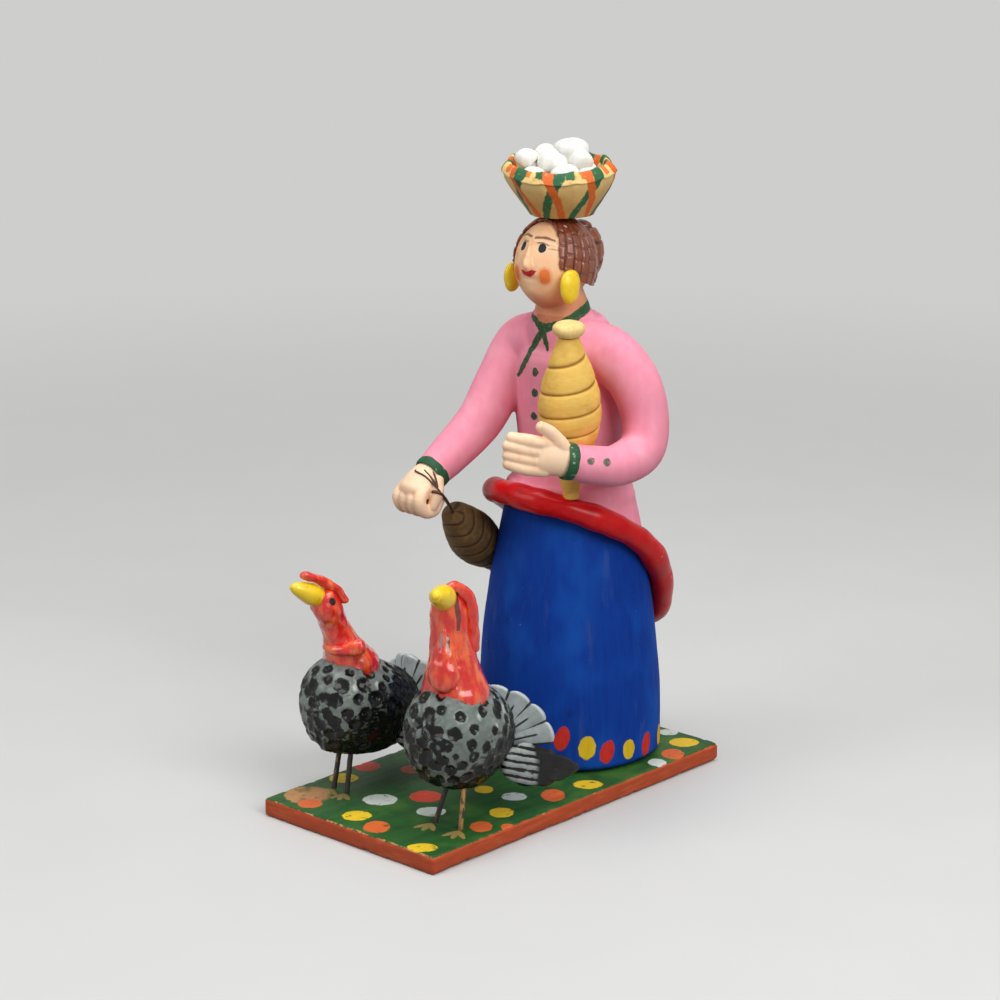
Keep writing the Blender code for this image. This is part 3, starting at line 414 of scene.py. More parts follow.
def makeSlab():
    wide, long, thick = slabLook["size"]
    clearSelection()
    bpy.ops.mesh.primitive_cube_add(size=1, location=(0, 0, 0))
    slab = bpy.context.object
    slab.name = "painted_slab"
    bpy.ops.object.mode_set(mode="EDIT")
    bpy.ops.transform.resize(value=(wide * mm, long * mm, thick * mm))
    bpy.ops.transform.translate(value=(0, 0, thick / 2 * mm))
    bpy.ops.mesh.bevel(offset=slabLook["bevel"] * mm, segments=2, affect="EDGES")
    bpy.ops.object.mode_set(mode="OBJECT")
    vx, vy = slabLook["ventPlace"]
    bpy.ops.mesh.primitive_cylinder_add(
        vertices=32,
        radius=slabLook["ventRadius"] * mm,
        depth=slabLook["ventDepth"] * mm,
        location=(vx * mm, vy * mm, 0),
    )
    vent = bpy.context.object
    applyModifier(slab, "BOOLEAN", operation="DIFFERENCE", object=vent, solver="EXACT")
    bpy.data.objects.remove(vent, do_unlink=True)
    press(slab, slabLook["grain"], 2)
    spots = spotsOf(slab)
    # the knife left the edges a little wavy, and the rims are chipped
    x, y, z = spots.T / mm
    rim = np.minimum(wide / 2 - np.abs(x), long / 2 - np.abs(y))
    level = np.minimum(thick - z, z)
    corner = ease(1 - np.hypot(np.maximum(rim, 0), np.maximum(level, 0)) / slabLook["chipReach"])
    drift = Vector(slabLook["chipDrift"])
    lift = np.zeros(len(spots))
    for k, spot in enumerate(spots):
        if rim[k] < slabLook["rimReach"]:
            lift[k] = slabLook["wave"] * noise.noise(Vector(spot) / (slabLook["waveSize"] * mm))
            chip = noise.noise(Vector(spot) / (slabLook["chipSize"] * mm) + drift)
            lift[k] -= slabLook["chip"] * corner[k] * max(chip - slabLook["chipFrom"], 0)
    pushOut(slab, lift)
    store(slab, "rim", corner)
    return slab


# skirt, turned about an upright axis
skirtLook = {
    "axis": (0, 38),
    "foot": 6.7,
    "height": 91.5,
    "hem": 32.8,
    "waist": 22.5,
    "bell": 2.1,
    "wall": 5.0,
    "crown": 7,
    "hemRound": 2.6,
    "lumps": ((17, 0.32, 3.1), (5, 0.07, 1.7)),
}


def skirtRadius(z):
    share = np.clip((z - skirtLook["foot"]) / skirtLook["height"], 0, 1)
    return skirtLook["hem"] - (skirtLook["hem"] - skirtLook["waist"]) * share ** skirtLook["bell"]


def makeSkirt():
    foot, height, turn = skirtLook["foot"], skirtLook["height"], skirtLook["hemRound"]
    outline = [(0, foot + height)]
    for z in np.linspace(foot + height, foot + turn, 44):
        outline.append((skirtRadius(z), z))
    for angle in np.linspace(0.15, math.pi / 2, 7):
        outline.append((skirtLook["hem"] - turn * (1 - math.cos(angle)), foot + turn * (1 - math.sin(angle))))
    crown = foot + height - skirtLook["crown"]
    for z in np.linspace(foot, crown, 24):
        outline.append((skirtRadius(z) - skirtLook["wall"], z))
    outline.append((0, crown))
    skirt = turned("painted_skirt", outline, 120, skirtLook["axis"])
    knead(skirt, skirtLook["lumps"])
    return skirt


# red roll round the skirt, high in front: degrees from the front, height above the slab
rollLook = {
    "radius": 4.35,
    "sink": 0.3,
    "turn": -3,
    "step": 2.5,
    "swells": ((0.05, 0.31, 0), (0.03, 0.83, 1)),
    "soften": (-9, -4, 0, 4, 9),
    "lumps": ((9, 0.25, 4.4),),
    "heights": (
        (0, 97.5), (28, 96.2), (50, 93.5), (72, 89.3), (90, 84.5),
        (110, 77.2), (125, 69.0), (140, 58.8), (155, 47.5), (180, 40.0),
    ),
}


def rollHeight(degrees):
    away = np.abs((np.asarray(degrees) - rollLook["turn"] + 180) % 360 - 180)
    shifts = rollLook["soften"]
    soft = 0
    for shift in shifts:
        soft = soft + np.interp(np.abs(away + shift), *np.array(rollLook["heights"]).T) / len(shifts)
    return soft + slabTop


def rollSpot(degrees):
    z = rollHeight(degrees)
    reach = skirtRadius(z) + rollLook["radius"] - rollLook["sink"]
    angle = np.radians(degrees)
    ax, ay = skirtLook["axis"]
    return np.stack([ax + reach * np.sin(angle), ay - reach * np.cos(angle), z], axis=-1)


def makeRoll():
    route = rollSpot(np.arange(0, 360, rollLook["step"]))
    clearSelection()
    bpy.ops.curve.primitive_nurbs_circle_add(radius=0.03)
    ring = bpy.context.object
    ring.name = "painted_roll"
    ring.data.splines.clear()
    line = ring.data.splines.new("POLY")
    line.points.add(len(route) - 1)
    for k, (point, spot) in enumerate(zip(line.points, route)):
        point.co = (*(spot * mm), 1)
        point.radius = 1 + sum(high * math.sin(k * pace + start) for high, pace, start in rollLook["swells"])
    line.use_cyclic_u = True
    ring.data.bevel_depth = rollLook["radius"] * mm
    ring.data.bevel_resolution = 9
    pick(ring)
    bpy.ops.object.convert(target="MESH")
    faceOut(ring)
    knead(ring, rollLook["lumps"])
    return ring


# blouse: a chest, two bent sleeves and the flare that the roll holds down
blouseLook = {
    "chest": (
        (0, 38.0, 94.0, 20.2, 20.2),
        (0, 38.0, 100.8, 22.8, 22.8),
        (0, 38.5, 106.0, 20.9, 21.0),
        (0, 37.8, 115.8, 19.0, 17.3),
        (0, 37.5, 131.8, 20.6, 17.0),
        (0, 37.2, 149.0, 19.4, 16.6),
        (0, 36.0, 156.0, 17.6, 14.2),
        (0, 34.2, 160.2, 14.6, 11.8),
        (0, 33.6, 163.0, 11.8, 10.6),
        (0, 33.4, 165.6, 10.0, 10.0),
    ),
    "shoulder": (0, 33.5, 153.9),
    "rightSleeve": (
        (-10.5, 0.0, 0.4, 9.6),
        (-18.6, -1.0, -3.4, 9.5),
        (-21.5, -8.2, -15.3, 8.8),
        (-22.4, -18.1, -28.0, 8.2),
        (-25.09, -30.55, -38.12, 7.2),
        (-25.395, -34.526, -40.61, 6.7),
        (-25.7, -38.5, -43.1, 6.1),
    ),
    "leftSleeve": (
        (10.5, 0.0, 0.6, 9.8),
        (20.5, 1.2, -1.4, 9.6),
        (29.2, 3.2, -8.8, 8.9),
        (34.0, 4.2, -21.5, 8.2),
        (35.8, 0.3, -31.6, 7.9),
        (36.0, -12.5, -34.8, 7.2),
        (33.3, -21.0, -33.6, 6.6),
        (29.8, -27.5, -32.0, 6.1),
    ),
    "flareTop": 100.5,
    "flareInside": 60,
    "flareEdge": 0.12,
    "flareOut": 0.45,
    "flareOverRoll": 0.2,
    "grain": 0.58,
    "lumps": ((12, 0.22, 2.3),),
    "hem": {"rightSleeve": 0.8, "leftSleeve": 3.0},
    "hemRadius": 5.95,
}


def sleeveRows(key):
    shoulder = np.array(blouseLook["shoulder"])
    rows = []
    for x, y, z, r in blouseLook[key]:
        rows.append((*(shoulder + (x, y, z)), r, r))
    hem = wristFrame(key) @ Vector((0, 0, blouseLook["hem"][key] * mm)) / mm
    rows.append((*hem, blouseLook["hemRadius"], blouseLook["hemRadius"]))
    return rows


def makeBlouse():
    ax, ay = skirtLook["axis"]
    top, edge = blouseLook["flareTop"], blouseLook["flareEdge"]

    def flare(t, a):
        degrees = np.degrees(np.arctan2(np.cos(a), -np.sin(a)))
        low = rollHeight(degrees) + blouseLook["flareOverRoll"]
        share = np.clip((t - edge) / (1 - 2 * edge), 0, 1)
        z = top + (low - top) * share
        grow = np.clip(np.minimum(t, 1 - t) / edge, 0, 1)
        reach = (skirtRadius(z) + blouseLook["flareOut"]) * grow
        z = np.where(t > 1 - edge, low * grow + blouseLook["flareInside"] * (1 - grow), z)
        return ax + reach * np.cos(a), ay + reach * np.sin(a), z

    lumps = [
        limb("blouse_chest", blouseLook["chest"], 64, 90, bulge=(0.1, 0.2)),
        limb("blouse_right", sleeveRows("rightSleeve"), 40, 80, (0, 0, 1), (0.3, 0.05)),
        limb("blouse_left", sleeveRows("leftSleeve"), 40, 90, (0, 0, 1), (0.3, 0.05)),
        mould("blouse_flare", 96, 60, flare),
    ]
    blouse = joinPieces("painted_blouse", lumps)
    press(blouse, blouseLook["grain"], 9)
    knead(blouse, blouseLook["lumps"])
    return blouse


# head and neck in one lump, with a long nose and a small chin
headLook = {
    "centre": (0, 28.0, 182.4),
    "half": (12.6, 13.6, 15.3),
    "chin": 0.30,
    "nose": (
        (0.7, 12.0, 8.0, 0.8, 0.9), (1.2, 13.4, 5.2, 1.05, 1.3), (1.9, 15.0, 2.2, 1.5, 1.9),
        (2.0, 14.7, 1.0, 1.45, 1.5),
    ),
    "dimples": (
        (4.7, 7.6, 2.4, 1.8, 0.6), (-3.6, 7.6, 2.4, 1.8, 0.6), (4.6, 10.4, 3.0, 0.9, -0.35),
        (-3.4, 10.4, 3.0, 0.9, -0.35), (6.6, -1.6, 2.8, 2.8, -0.5), (-4.4, -1.6, 2.8, 2.8, -0.5),
        (1.2, -0.9, 2.6, 0.9, -0.6), (1.2, -2.9, 2.8, 0.8, 0.45), (1.3, -8.0, 3.6, 2.4, -0.7),
    ),
    "neck": (
        (0, 33.4, 161.0, 9.6, 9.6),
        (0, 33.2, 165.6, 9.8, 9.8),
        (0, 32.2, 170.0, 8.6, 8.6),
        (0, 30.5, 176.0, 7.8, 7.8),
        (0, 30.0, 182.0, 7.4, 7.4),
    ),
    "faceFrom": 6,
    "faceFade": 4,
    "grain": 0.36,
    "lumps": ((6, 0.1, 6.2),),
}


def headDepth(x, z):
    cx, cy, cz = headLook["centre"]
    hx, hy, hz = headLook["half"]
    low = np.clip(-(z - cz) / hz, 0, 1)
    wide = hx * (1 - headLook["chin"] * low**2)
    left = np.clip(1 - ((x - cx) / wide) ** 2 - ((z - cz) / hz) ** 2, 0, 1)
    return cy - hy * np.sqrt(left)


def makeHead():
    cx, cy, cz = headLook["centre"]
    hx, hy, hz = headLook["half"]

    def skull(t, a):
        z = hz * np.cos(math.pi * t)
        reach = np.sin(math.pi * t)
        low = np.clip(-z / hz, 0, 1)
        x = hx * reach * np.cos(a) * (1 - headLook["chin"] * low**2)
        return cx + x, cy + hy * reach * np.sin(a), cz + z

    nose = [(x, cy - out, cz + z, wide, deep) for x, out, z, wide, deep in headLook["nose"]]
    lumps = [
        mould("head_skull", 72, 54, skull),
        limb("head_neck", headLook["neck"], 48, 40, bulge=(0.2, 0.2)),
        limb("head_nose", nose, 20, 30),
    ]
    head = joinPieces("painted_head", lumps)
    press(head, headLook["grain"], 5)
    spots = spotsOf(head)
    x, y, z = (spots / mm).T
    front = ease((cy - headLook["faceFrom"] - y) / headLook["faceFade"])
    push = np.zeros(len(spots))
    # eye hollows, cheeks, lips and chin: each a dimple pushed in, or out where it is negative
    for px, pz, wide, tall, depth in headLook["dimples"]:
        push += depth * np.exp(-((x - px) / wide) ** 2 - ((z - cz - pz) / tall) ** 2)
    spots[:, 1] += push * front * mm
    moveSpots(head, spots)
    knead(head, headLook["lumps"])
    return head


# hair: combed strands cut across like small bricks
hairLook = {
    "grain": 0.34,
    "shell": (14.0, 15.0, 16.6),
    "shellBack": 1.6,
    "shellEdge": (0.86, 0.1),
    "strand": 14.4,
    "strandWidth": 0.20,
    "strandLean": 0.9,
    "row": 4.4,
    "rowWidth": 0.17,
    "rowDepth": 0.6,
    "rowLean": 0.012,
    "rowShift": 0.37,
    "depth": 0.62,
    "swell": 0.12,
    "lumps": ((3.5, 0.1, 1.2),),
    "bunMiddle": (0, 3.2),
    "bunStrand": 45.0,
    "bunWidth": 0.24,
    "bunTwist": 7.0,
    "bunFrom": 12,
    "bunRing": 5.4,
    "bunRingWidth": 0.7,
    "bunRingFrom": 15,
    "bunFade": 3,
    "bunDepth": 0.8,
    "bunSwell": 0.15,
    "bunShift": (-1.2, -1.1, -0.8),
    "bunLumps": ((3.5, 0.12, 7.2),),
}


def strandGrooves(columns, rows):
    offset = hairLook["rowShift"] * np.round(columns - 0.5) ** 2 % 1.0
    cut = hairLook["rowDepth"] * grooves(rows + offset, hairLook["rowWidth"])
    return np.maximum(grooves(columns, hairLook["strandWidth"]), cut)


def makeHair():
    hair = copyNode("combed_hair", "hair_cap")
    press(hair, hairLook["grain"], 4)
    _, cy, cz = headLook["centre"]
    x, y, z = (spotsOf(hair) / mm).T
    wide, deep, tall = hairLook["shell"]
    out = (x / wide) ** 2 + ((y - cy - hairLook["shellBack"]) / deep) ** 2 + ((z - cz) / tall) ** 2
    low, fade = hairLook["shellEdge"]
    outer = ease((out - low) / fade)
    degrees = np.degrees(np.arctan2(x, -(y - cy)))
    columns = np.sign(x) * (np.abs(degrees) - hairLook["strandLean"] * (z - cz)) / hairLook["strand"]
    rows = (z - cz) / hairLook["row"] + hairLook["rowLean"] * np.abs(degrees)
    groove = strandGrooves(columns, rows) * outer
    pushOut(hair, hairLook["swell"] * outer - groove * hairLook["depth"])
    knead(hair, hairLook["lumps"])
    store(hair, "groove", groove)

    bun = copyNode("hair_knot", "hair_bun")
    press(bun, hairLook["grain"], 4)
    x, y, z = (spotsOf(bun) / mm).T
    side, up = hairLook["bunMiddle"]
    x, z = x - side, z - cz - up
    away = np.hypot(x, z)
    columns = (np.degrees(np.arctan2(z, x)) + hairLook["bunTwist"] * away) / hairLook["bunStrand"]
    fade = hairLook["bunFade"]
    groove = grooves(columns, hairLook["bunWidth"]) * ease((y - cy - hairLook["bunFrom"]) / fade)
    ring = hairLook["rowDepth"] * np.exp(-((away - hairLook["bunRing"]) / hairLook["bunRingWidth"]) ** 2)
    groove = np.maximum(groove, ring * ease((y - cy - hairLook["bunRingFrom"]) / fade))
    pushOut(bun, hairLook["bunSwell"] - groove * hairLook["bunDepth"])
    moveSpots(bun, spotsOf(bun) + np.array(hairLook["bunShift"]) * mm)
    knead(bun, hairLook["bunLumps"])
    store(bun, "groove", groove)
    return hair, bun


# earrings, two pressed drops
earringLook = {
    "half": (2.5, 4.2, 5.9),
    "side": 13.2,
    "forward": 5.8,
    "drop": 5.4,
    "full": 0.85,
    "spread": 0.12,
    "lumps": ((4, 0.22, 3),),
}


def makeEarring(name, side, grow):
    _, cy, cz = headLook["centre"]
    hx, hy, hz = (grow * part for part in earringLook["half"])

    def shape(t, a):
        reach = np.sin(math.pi * t) ** earringLook["full"]
        z = np.cos(math.pi * t)
        x = side * (earringLook["side"] + hx * reach * np.cos(a))
        y = cy - earringLook["forward"] + hy * reach * np.sin(a) * (1 + earringLook["spread"] * z)
        return x, y, cz - earringLook["drop"] + hz * z

    earring = mould(name, 40, 30, shape)
    knead(earring, earringLook["lumps"], side)
    return earring


# basket: a cone of flat panels with a broad, pointed rim
basketLook = {
    "axis": (0, 30.9),
    "foot": 199.6,
    "height": 15.0,
    "footRadius": 11.0,
    "footShift": (0.9, 0.8),
    "rimRadius": 20.0,
    "lift": 2.9,
    "tip": 1.7,
    "front": (0.677, -0.736),
    "bowl": 1.1,
    "fill": 8.0,
    "panels": 11,
    "point": 0.7,
    "lip": (
        (0.0, -3.1), (0.25, -2.6), (1.0, -1.5), (1.9, -0.6),
        (2.9, 0.0), (3.7, -0.5), (4.4, -1.9), (5.2, -4.2),
    ),
    "footDrop": 0.4,
    "footFlat": 0.55,
    "wallTop": 0.78,
    "inset": 3,
    "innerFrom": 5.6,
    "innerFade": 1.2,
    "innerUp": (0.5, 0.05),
    "pointFrom": 0.7,
    "sway": 0.5,
    "strands": 8,
    "strandTop": 0.9,
    "strandRows": (("strandRight", 0.47, 0.42), ("strandLeft", -0.58, 0.08)),
    "patches": 11,
    "patchRows": (("patchRight", 0.1), ("patchLeft", 0.6)),
    "patchFrom": 0.87,
    "away": 30,
    "lumps": ((4, 0.22, 5.1),),
}


def basketRadius(share):
    swell = np.sin(math.pi / 2 * np.clip(share, 0, 1)) ** basketLook["bowl"]
    return basketLook["footRadius"] + (basketLook["rimRadius"] - basketLook["footRadius"]) * swell


def makeBasket():
    foot, height, rim = basketLook["foot"], basketLook["height"], basketLook["rimRadius"]
    under = foot - basketLook["footDrop"]
    outline = [(0, under, 0), (basketLook["footFlat"] * basketLook["footRadius"], under, 0.1)]
    for share in np.linspace(0, basketLook["wallTop"], 30):
        outline.append((basketRadius(share), foot + height * share, 0.35 + 0.65 * share))
    for inset, z, _ in smoothRows([(*row, 0) for row in basketLook["lip"]], 24):
        outline.append((rim - inset, foot + height + z, 1 - 0.1 * inset))
    outline.append((basketRadius(0.5) - basketLook["inset"], foot + basketLook["fill"], 0.3))
    outline.append((0, foot + basketLook["fill"], 0))
    outline = np.array(outline)
    ax, ay = basketLook["axis"]

    def shape(t, a):
        row = outline[np.round(t * (len(outline) - 1)).astype(int)]
        panel = (a * basketLook["panels"] / (2 * math.pi)) % 1.0 - 0.5
        half = math.pi / basketLook["panels"]
        flat = math.cos(half) / np.cos(2 * panel * half)
        reach = row[:, 0] * (1 - row[:, 2] * (1 - flat))
        high = row[:, 1] > foot + basketLook["pointFrom"] * height
        point = basketLook["point"] * (2 * np.abs(panel)) ** 3 * high
        sway = basketLook["sway"] * np.sin(2 * a + 0.6) * row[:, 2] ** 2
        low = 1 - np.clip((row[:, 1] - foot) / height, 0, 1)
        sx, sy = basketLook["footShift"]
        return ax + sx * low + reach * np.cos(a), ay + sy * low + reach * np.sin(a), row[:, 1] + point + sway

    basket = mould("painted_basket", 198, len(outline) - 1, shape)
    spots = spotsOf(basket) / mm
    turn = np.arctan2(spots[:, 1] - ay, spots[:, 0] - ax) / (2 * math.pi)
    up = (spots[:, 2] - foot) / height
    out = np.hypot(spots[:, 0] - ax, spots[:, 1] - ay)
    store(basket, "up", up)
    low, fade = basketLook["innerUp"]
    inner = ease((rim - basketLook["innerFrom"] - out) / basketLook["innerFade"])
    store(basket, "inner", inner * ease((up - low) / fade))
    # strands are kept as distances, so that they close round the basket
    for name, slope, start in basketLook["strandRows"]:
        climb = np.minimum(up, basketLook["strandTop"])
        wave = (turn * basketLook["strands"] + slope * climb + start) % 1.0
        store(basket, name, np.abs(wave - 0.5) * 2 * math.pi * out / basketLook["strands"])
    for name, start in basketLook["patchRows"]:
        wave = (turn * basketLook["patches"] + start) % 1.0
        away = np.abs(wave - 0.5) * 2 * math.pi * out / basketLook["patches"]
        store(basket, name, away + basketLook["away"] * (up < basketLook["patchFrom"]))
    # the rim stands higher at the back
    fx, fy = basketLook["front"]
    ahead = (fx * (spots[:, 0] - ax) + fy * (spots[:, 1] - ay)) / rim
    spots[:, 2] += np.clip(up, 0, 1) * (basketLook["lift"] - basketLook["tip"] * ahead)
    moveSpots(basket, spots * mm)
    knead(basket, basketLook["lumps"])
    return basket


# eggs, heaped in the basket
eggLook = {"grain": 0.42, "seedStep": 1.37, "lumps": ((4.5, 0.4, 0),)}
# one or two balls for each egg node, each with a shift in mm and a growth
eggHeap = {
    1: (((0.0, 0.0, 0.8), (1.14, 1.14, 1.05)),),
    2: (((0.0, 0.0, 1.5), (1.14, 1.14, 1.05)),),
    3: (((0.3, -0.6, 1.4), (1.16, 1.16, 1.05)),),
    4: (((1.5, 1.4, 2.4), (1.12, 1.12, 1.02)),),
    5: (((0.0, 0.0, 0.8), (1.14, 1.14, 1.0)),),
    6: (((0.8, 0.7, 2.6), (1.05, 1.05, 0.95)),),
    7: (((-0.6, -0.5, 3.4), (1.12, 1.12, 1.0)),),
    8: (((-2.6, -2.4, -0.4), (0.88, 0.88, 0.84)), ((-1.3, 5.3, 0.7), (0.80, 0.80, 0.76))),
    9: (((-0.6, -0.5, 0.9), (0.98, 0.98, 0.86)), ((4.1, -1.2, -2.3), (0.68, 0.68, 0.72))),
}


def makeEggs():
    eggs = []
    for number, balls in eggHeap.items():
        pieces = []
        for k, (shift, grow) in enumerate(balls):
            egg = copyNode(f"egg_lump_{number}_{k}", f"egg_{number}")
            press(egg, eggLook["grain"], 7)
            spots = spotsOf(egg)
            middle = spots.mean(axis=0)
            moveSpots(egg, middle + (spots - middle) * grow + np.array(shift) * mm)
            knead(egg, eggLook["lumps"], number * eggLook["seedStep"] + k)
            pieces.append(egg)
        eggs.append(joinPieces(f"white_egg_{number}", pieces))
    return eggs


# distaff: flax wound on a stick, with one groove running round it
distaffLook = {
    "footAngle": 42,
    "coilStart": -47.386,
    "lean": (0.06, -0.10, 1.0),
    "length": 58,
    "radius": 10.7,
    "top": 3.8,
    "foot": 3.0,
    "belly": 0.46,
    "shoulder": 1.2,
    "marks": (-0.04, 0.13, 0.29, 0.43, 0.56, 0.67, 0.80, 0.95, 1.1),
    "groove": 0.6,
    "grooveWidth": 0.5,
    "coil": 0.45,
    "ends": (0.12, 0.1),
    "close": 0.03,
    "stand": 0.3,
    "lumps": ((6, 0.2, 2.9),),
    "capLumps": ((4, 0.15, 8.2),),
    "cap": (
        (0, 4.7), (3.0, 4.75), (4.3, 4.6), (5.1, 4.0), (5.45, 3.1),
        (5.4, 2.2), (4.9, 1.2), (4.0, 0.5), (0, 0.2),
    ),
}


def axisFrame(top, along):
    turn = Vector(along).to_track_quat("Z", "Y").to_matrix().to_4x4()
    return Matrix.Translation(Vector(top) * mm) @ turn


def distaffTop():
    foot = rollSpot(distaffLook["footAngle"]) + np.array([0, 0, rollLook["radius"] + distaffLook["stand"]])
    lean = np.array(distaffLook["lean"])
    lean /= np.linalg.norm(lean)
    return foot + lean * distaffLook["length"], lean


# half thickness of what is wound on a stick, greatest at the belly
def windingRadius(look, share):
    swell = np.sin(math.pi / 2 * np.clip(share / look["belly"], 0, 1)) ** look["shoulder"]
    radius = look["top"] + (look["radius"] - look["top"]) * swell
    taper = ease((share - look["belly"]) / (1 - look["belly"]))
    return radius + (look["foot"] - look["radius"]) * taper


def makeDistaff():
    top, lean = distaffTop()
    length = distaffLook["length"]
    marks = np.array(distaffLook["marks"])

    def grooveAt(share, a):
        facing = a - math.radians(distaffLook["coilStart"])
        turn = np.interp(share, marks, np.arange(len(marks))) + (facing / (2 * math.pi)) % 1.0
        gap = np.abs(turn - np.round(turn))
        spacing = np.gradient(marks).mean() * length
        first, last = distaffLook["ends"]
        ends = ease(share / first) * ease((1 - share) / last)
        groove = np.exp(-((gap * spacing) / distaffLook["grooveWidth"]) ** 2)
        return groove * ends, np.sqrt(2 * gap) * ends

    def shape(t, a):
        close = distaffLook["close"]
        share = np.clip((t - close) / (1 - 2 * close), 0, 1)
        cap = np.clip(np.minimum(t, 1 - t) / close, 0, 1)
        groove, coil = grooveAt(share, a)
        relief = distaffLook["coil"] * (coil - 0.5) - distaffLook["groove"] * groove
        radius = (windingRadius(distaffLook, share) + relief) * cap
        return radius * np.cos(a), radius * np.sin(a), -length * share

    bundle = mould("flax_bundle", 96, 170, shape)
    spots = spotsOf(bundle) / mm
    store(bundle, "groove", grooveAt(-spots[:, 2] / length, np.arctan2(spots[:, 1], spots[:, 0]))[0])
    bundle.data.transform(axisFrame(top, lean))
    knead(bundle, distaffLook["lumps"])

    outline = smoothRows([(r, z, 0) for r, z in distaffLook["cap"]], 40)
    outline[:, 0] = np.maximum(outline[:, 0], 0)
    cap = turned("flax_cap", outline, 64)
    cap.data.transform(axisFrame(top, lean))
    knead(cap, distaffLook["capLumps"])
    return bundle, cap


# hands, each in a frame at its sleeve's end: X to the thumb, Y across, Z along the arm
handLook = {
    "grain": 0.34,
    "left": {
        "palm": (
            (0, 0.1, -2.5, 5.2, 5.0), (0.1, 0.2, 2, 5.6, 5.0),
            (0.3, 0.1, 7, 6.0, 4.3), (0, 0.2, 12, 6.2, 3.9),
        ),
        "fingers": [
            (
                (2.0 * k, -0.1, 10.0, 2.3, 2.6),
                (2.1 * k, -0.4, 17.0, 2.35, 2.5),
                (2.0 * k, 2.4, 24.0 - 0.5 * abs(k - 0.8), 2.0, 2.0),
            )
            for k in (2.3, 0.8, -0.7, -2.15)
        ],
        "thumb": (
            (2.5, -0.8, 3.5, 2.8, 2.6), (6.0, -1.0, 7.0, 2.6, 2.4), (8.8, -1.0, 10.8, 2.3, 2.1),
            (10.6, -1.2, 15.2, 1.9, 1.8),
        ),
    },
    "right": {
        "palm": (
            (0, 0, -2.5, 5.0, 5.0), (0.2, 0, 1.5, 5.2, 5.4), (0.3, 0, 6, 5.3, 6.4), (0.2, 0, 10.0, 4.6, 6.6),
        ),
        "fingers": [
            (
                (1.0, 0.9 * v, 8.6, 2.2, 2.3),
                (-0.6, v, 13.2, 2.3, 2.3),
                (-5.0, v, 13.6, 2.3, 2.2),
                (-7.6, v, 10.2, 2.2, 2.2),
                (-6.8, 0.9 * v, 5.8, 2.1, 2.0),
            )
            for v in (-5.4, -1.8, 1.9, 5.4)
        ],
        "thumb": ((0.0, -5.2, 3.0, 2.4, 2.4), (-2.8, -7.0, 6.6, 2.3, 2.2), (-5.4, -6.4, 10.4, 2.0, 1.9)),
    },
    "grip": (-3.0, 0.0, 8.0),
    "lumps": ((4, 0.12, 3.3),),
}


def wristFrame(key):
    offsets = np.array(blouseLook[key])[:, :3]
    p0, p1, p2 = offsets[-3:]
    after = 2 * p2 - p1
    # half way along the last span of the smooth line
    bend = (2 * p0 - 5 * p1 + 4 * p2 - after) * 0.25 + (3 * p1 - p0 - 3 * p2 + after) * 0.125
    half = 0.5 * (2 * p1 + (p2 - p0) * 0.5 + bend)
    along = Vector(p2 - half).normalized()
    thumb = (Vector((0, 0, 1)) - along * along.z).normalized()
    turn = Matrix((thumb, along.cross(thumb), along)).transposed().to_4x4()
    return Matrix.Translation((Vector(p2) + Vector(blouseLook["shoulder"])) * mm) @ turn


def makeHand(name, which, key):
    look = handLook[which]
    lumps = [limb(name + "_palm", look["palm"], 32, 40)]
    for k, rows in enumerate(look["fingers"]):
        lumps.append(limb(f"{name}_finger{k}", rows, 20, 34))
    lumps.append(limb(name + "_thumb", look["thumb"], 20, 34))
    hand = joinPieces(name, lumps)
    press(hand, handLook["grain"], 3)
    # the grooves between the fingers are kept for the brush
    lines = []
    for first, second in zip(look["fingers"], look["fingers"][1:]):
        lines.append([(*(np.add(a[:3], b[:3]) / 2), 0.0) for a, b in zip(first, second)])
    store(hand, "crease", strokeField(spotsOf(hand), lines))
    hand.data.transform(wristFrame(key))
    knead(hand, handLook["lumps"])
    return hand


# cuffs, two flat green rings at the hems of the sleeves
cuffLook = {"thick": 0.45, "stretch": 4.2, "inset": 0.9, "lumps": ((3.2, 0.22, 2.2),)}


def makeCuff(name, key):
    clearSelection()
    bpy.ops.mesh.primitive_torus_add(
        major_segments=64,
        minor_segments=16,
        major_radius=blouseLook["hemRadius"] * mm,
        minor_radius=cuffLook["thick"] * mm,
    )
    cuff = bpy.context.object
    cuff.name = name
    bpy.ops.object.mode_set(mode="EDIT")
    bpy.ops.mesh.select_all(action="SELECT")
    bpy.ops.transform.resize(value=(1, 1, cuffLook["stretch"]))
    bpy.ops.transform.translate(value=(0, 0, (blouseLook["hem"][key] - cuffLook["inset"]) * mm))
    bpy.ops.object.mode_set(mode="OBJECT")
    cuff.data.transform(wristFrame(key))
    faceOut(cuff)
    knead(cuff, cuffLook["lumps"])
    return cuff


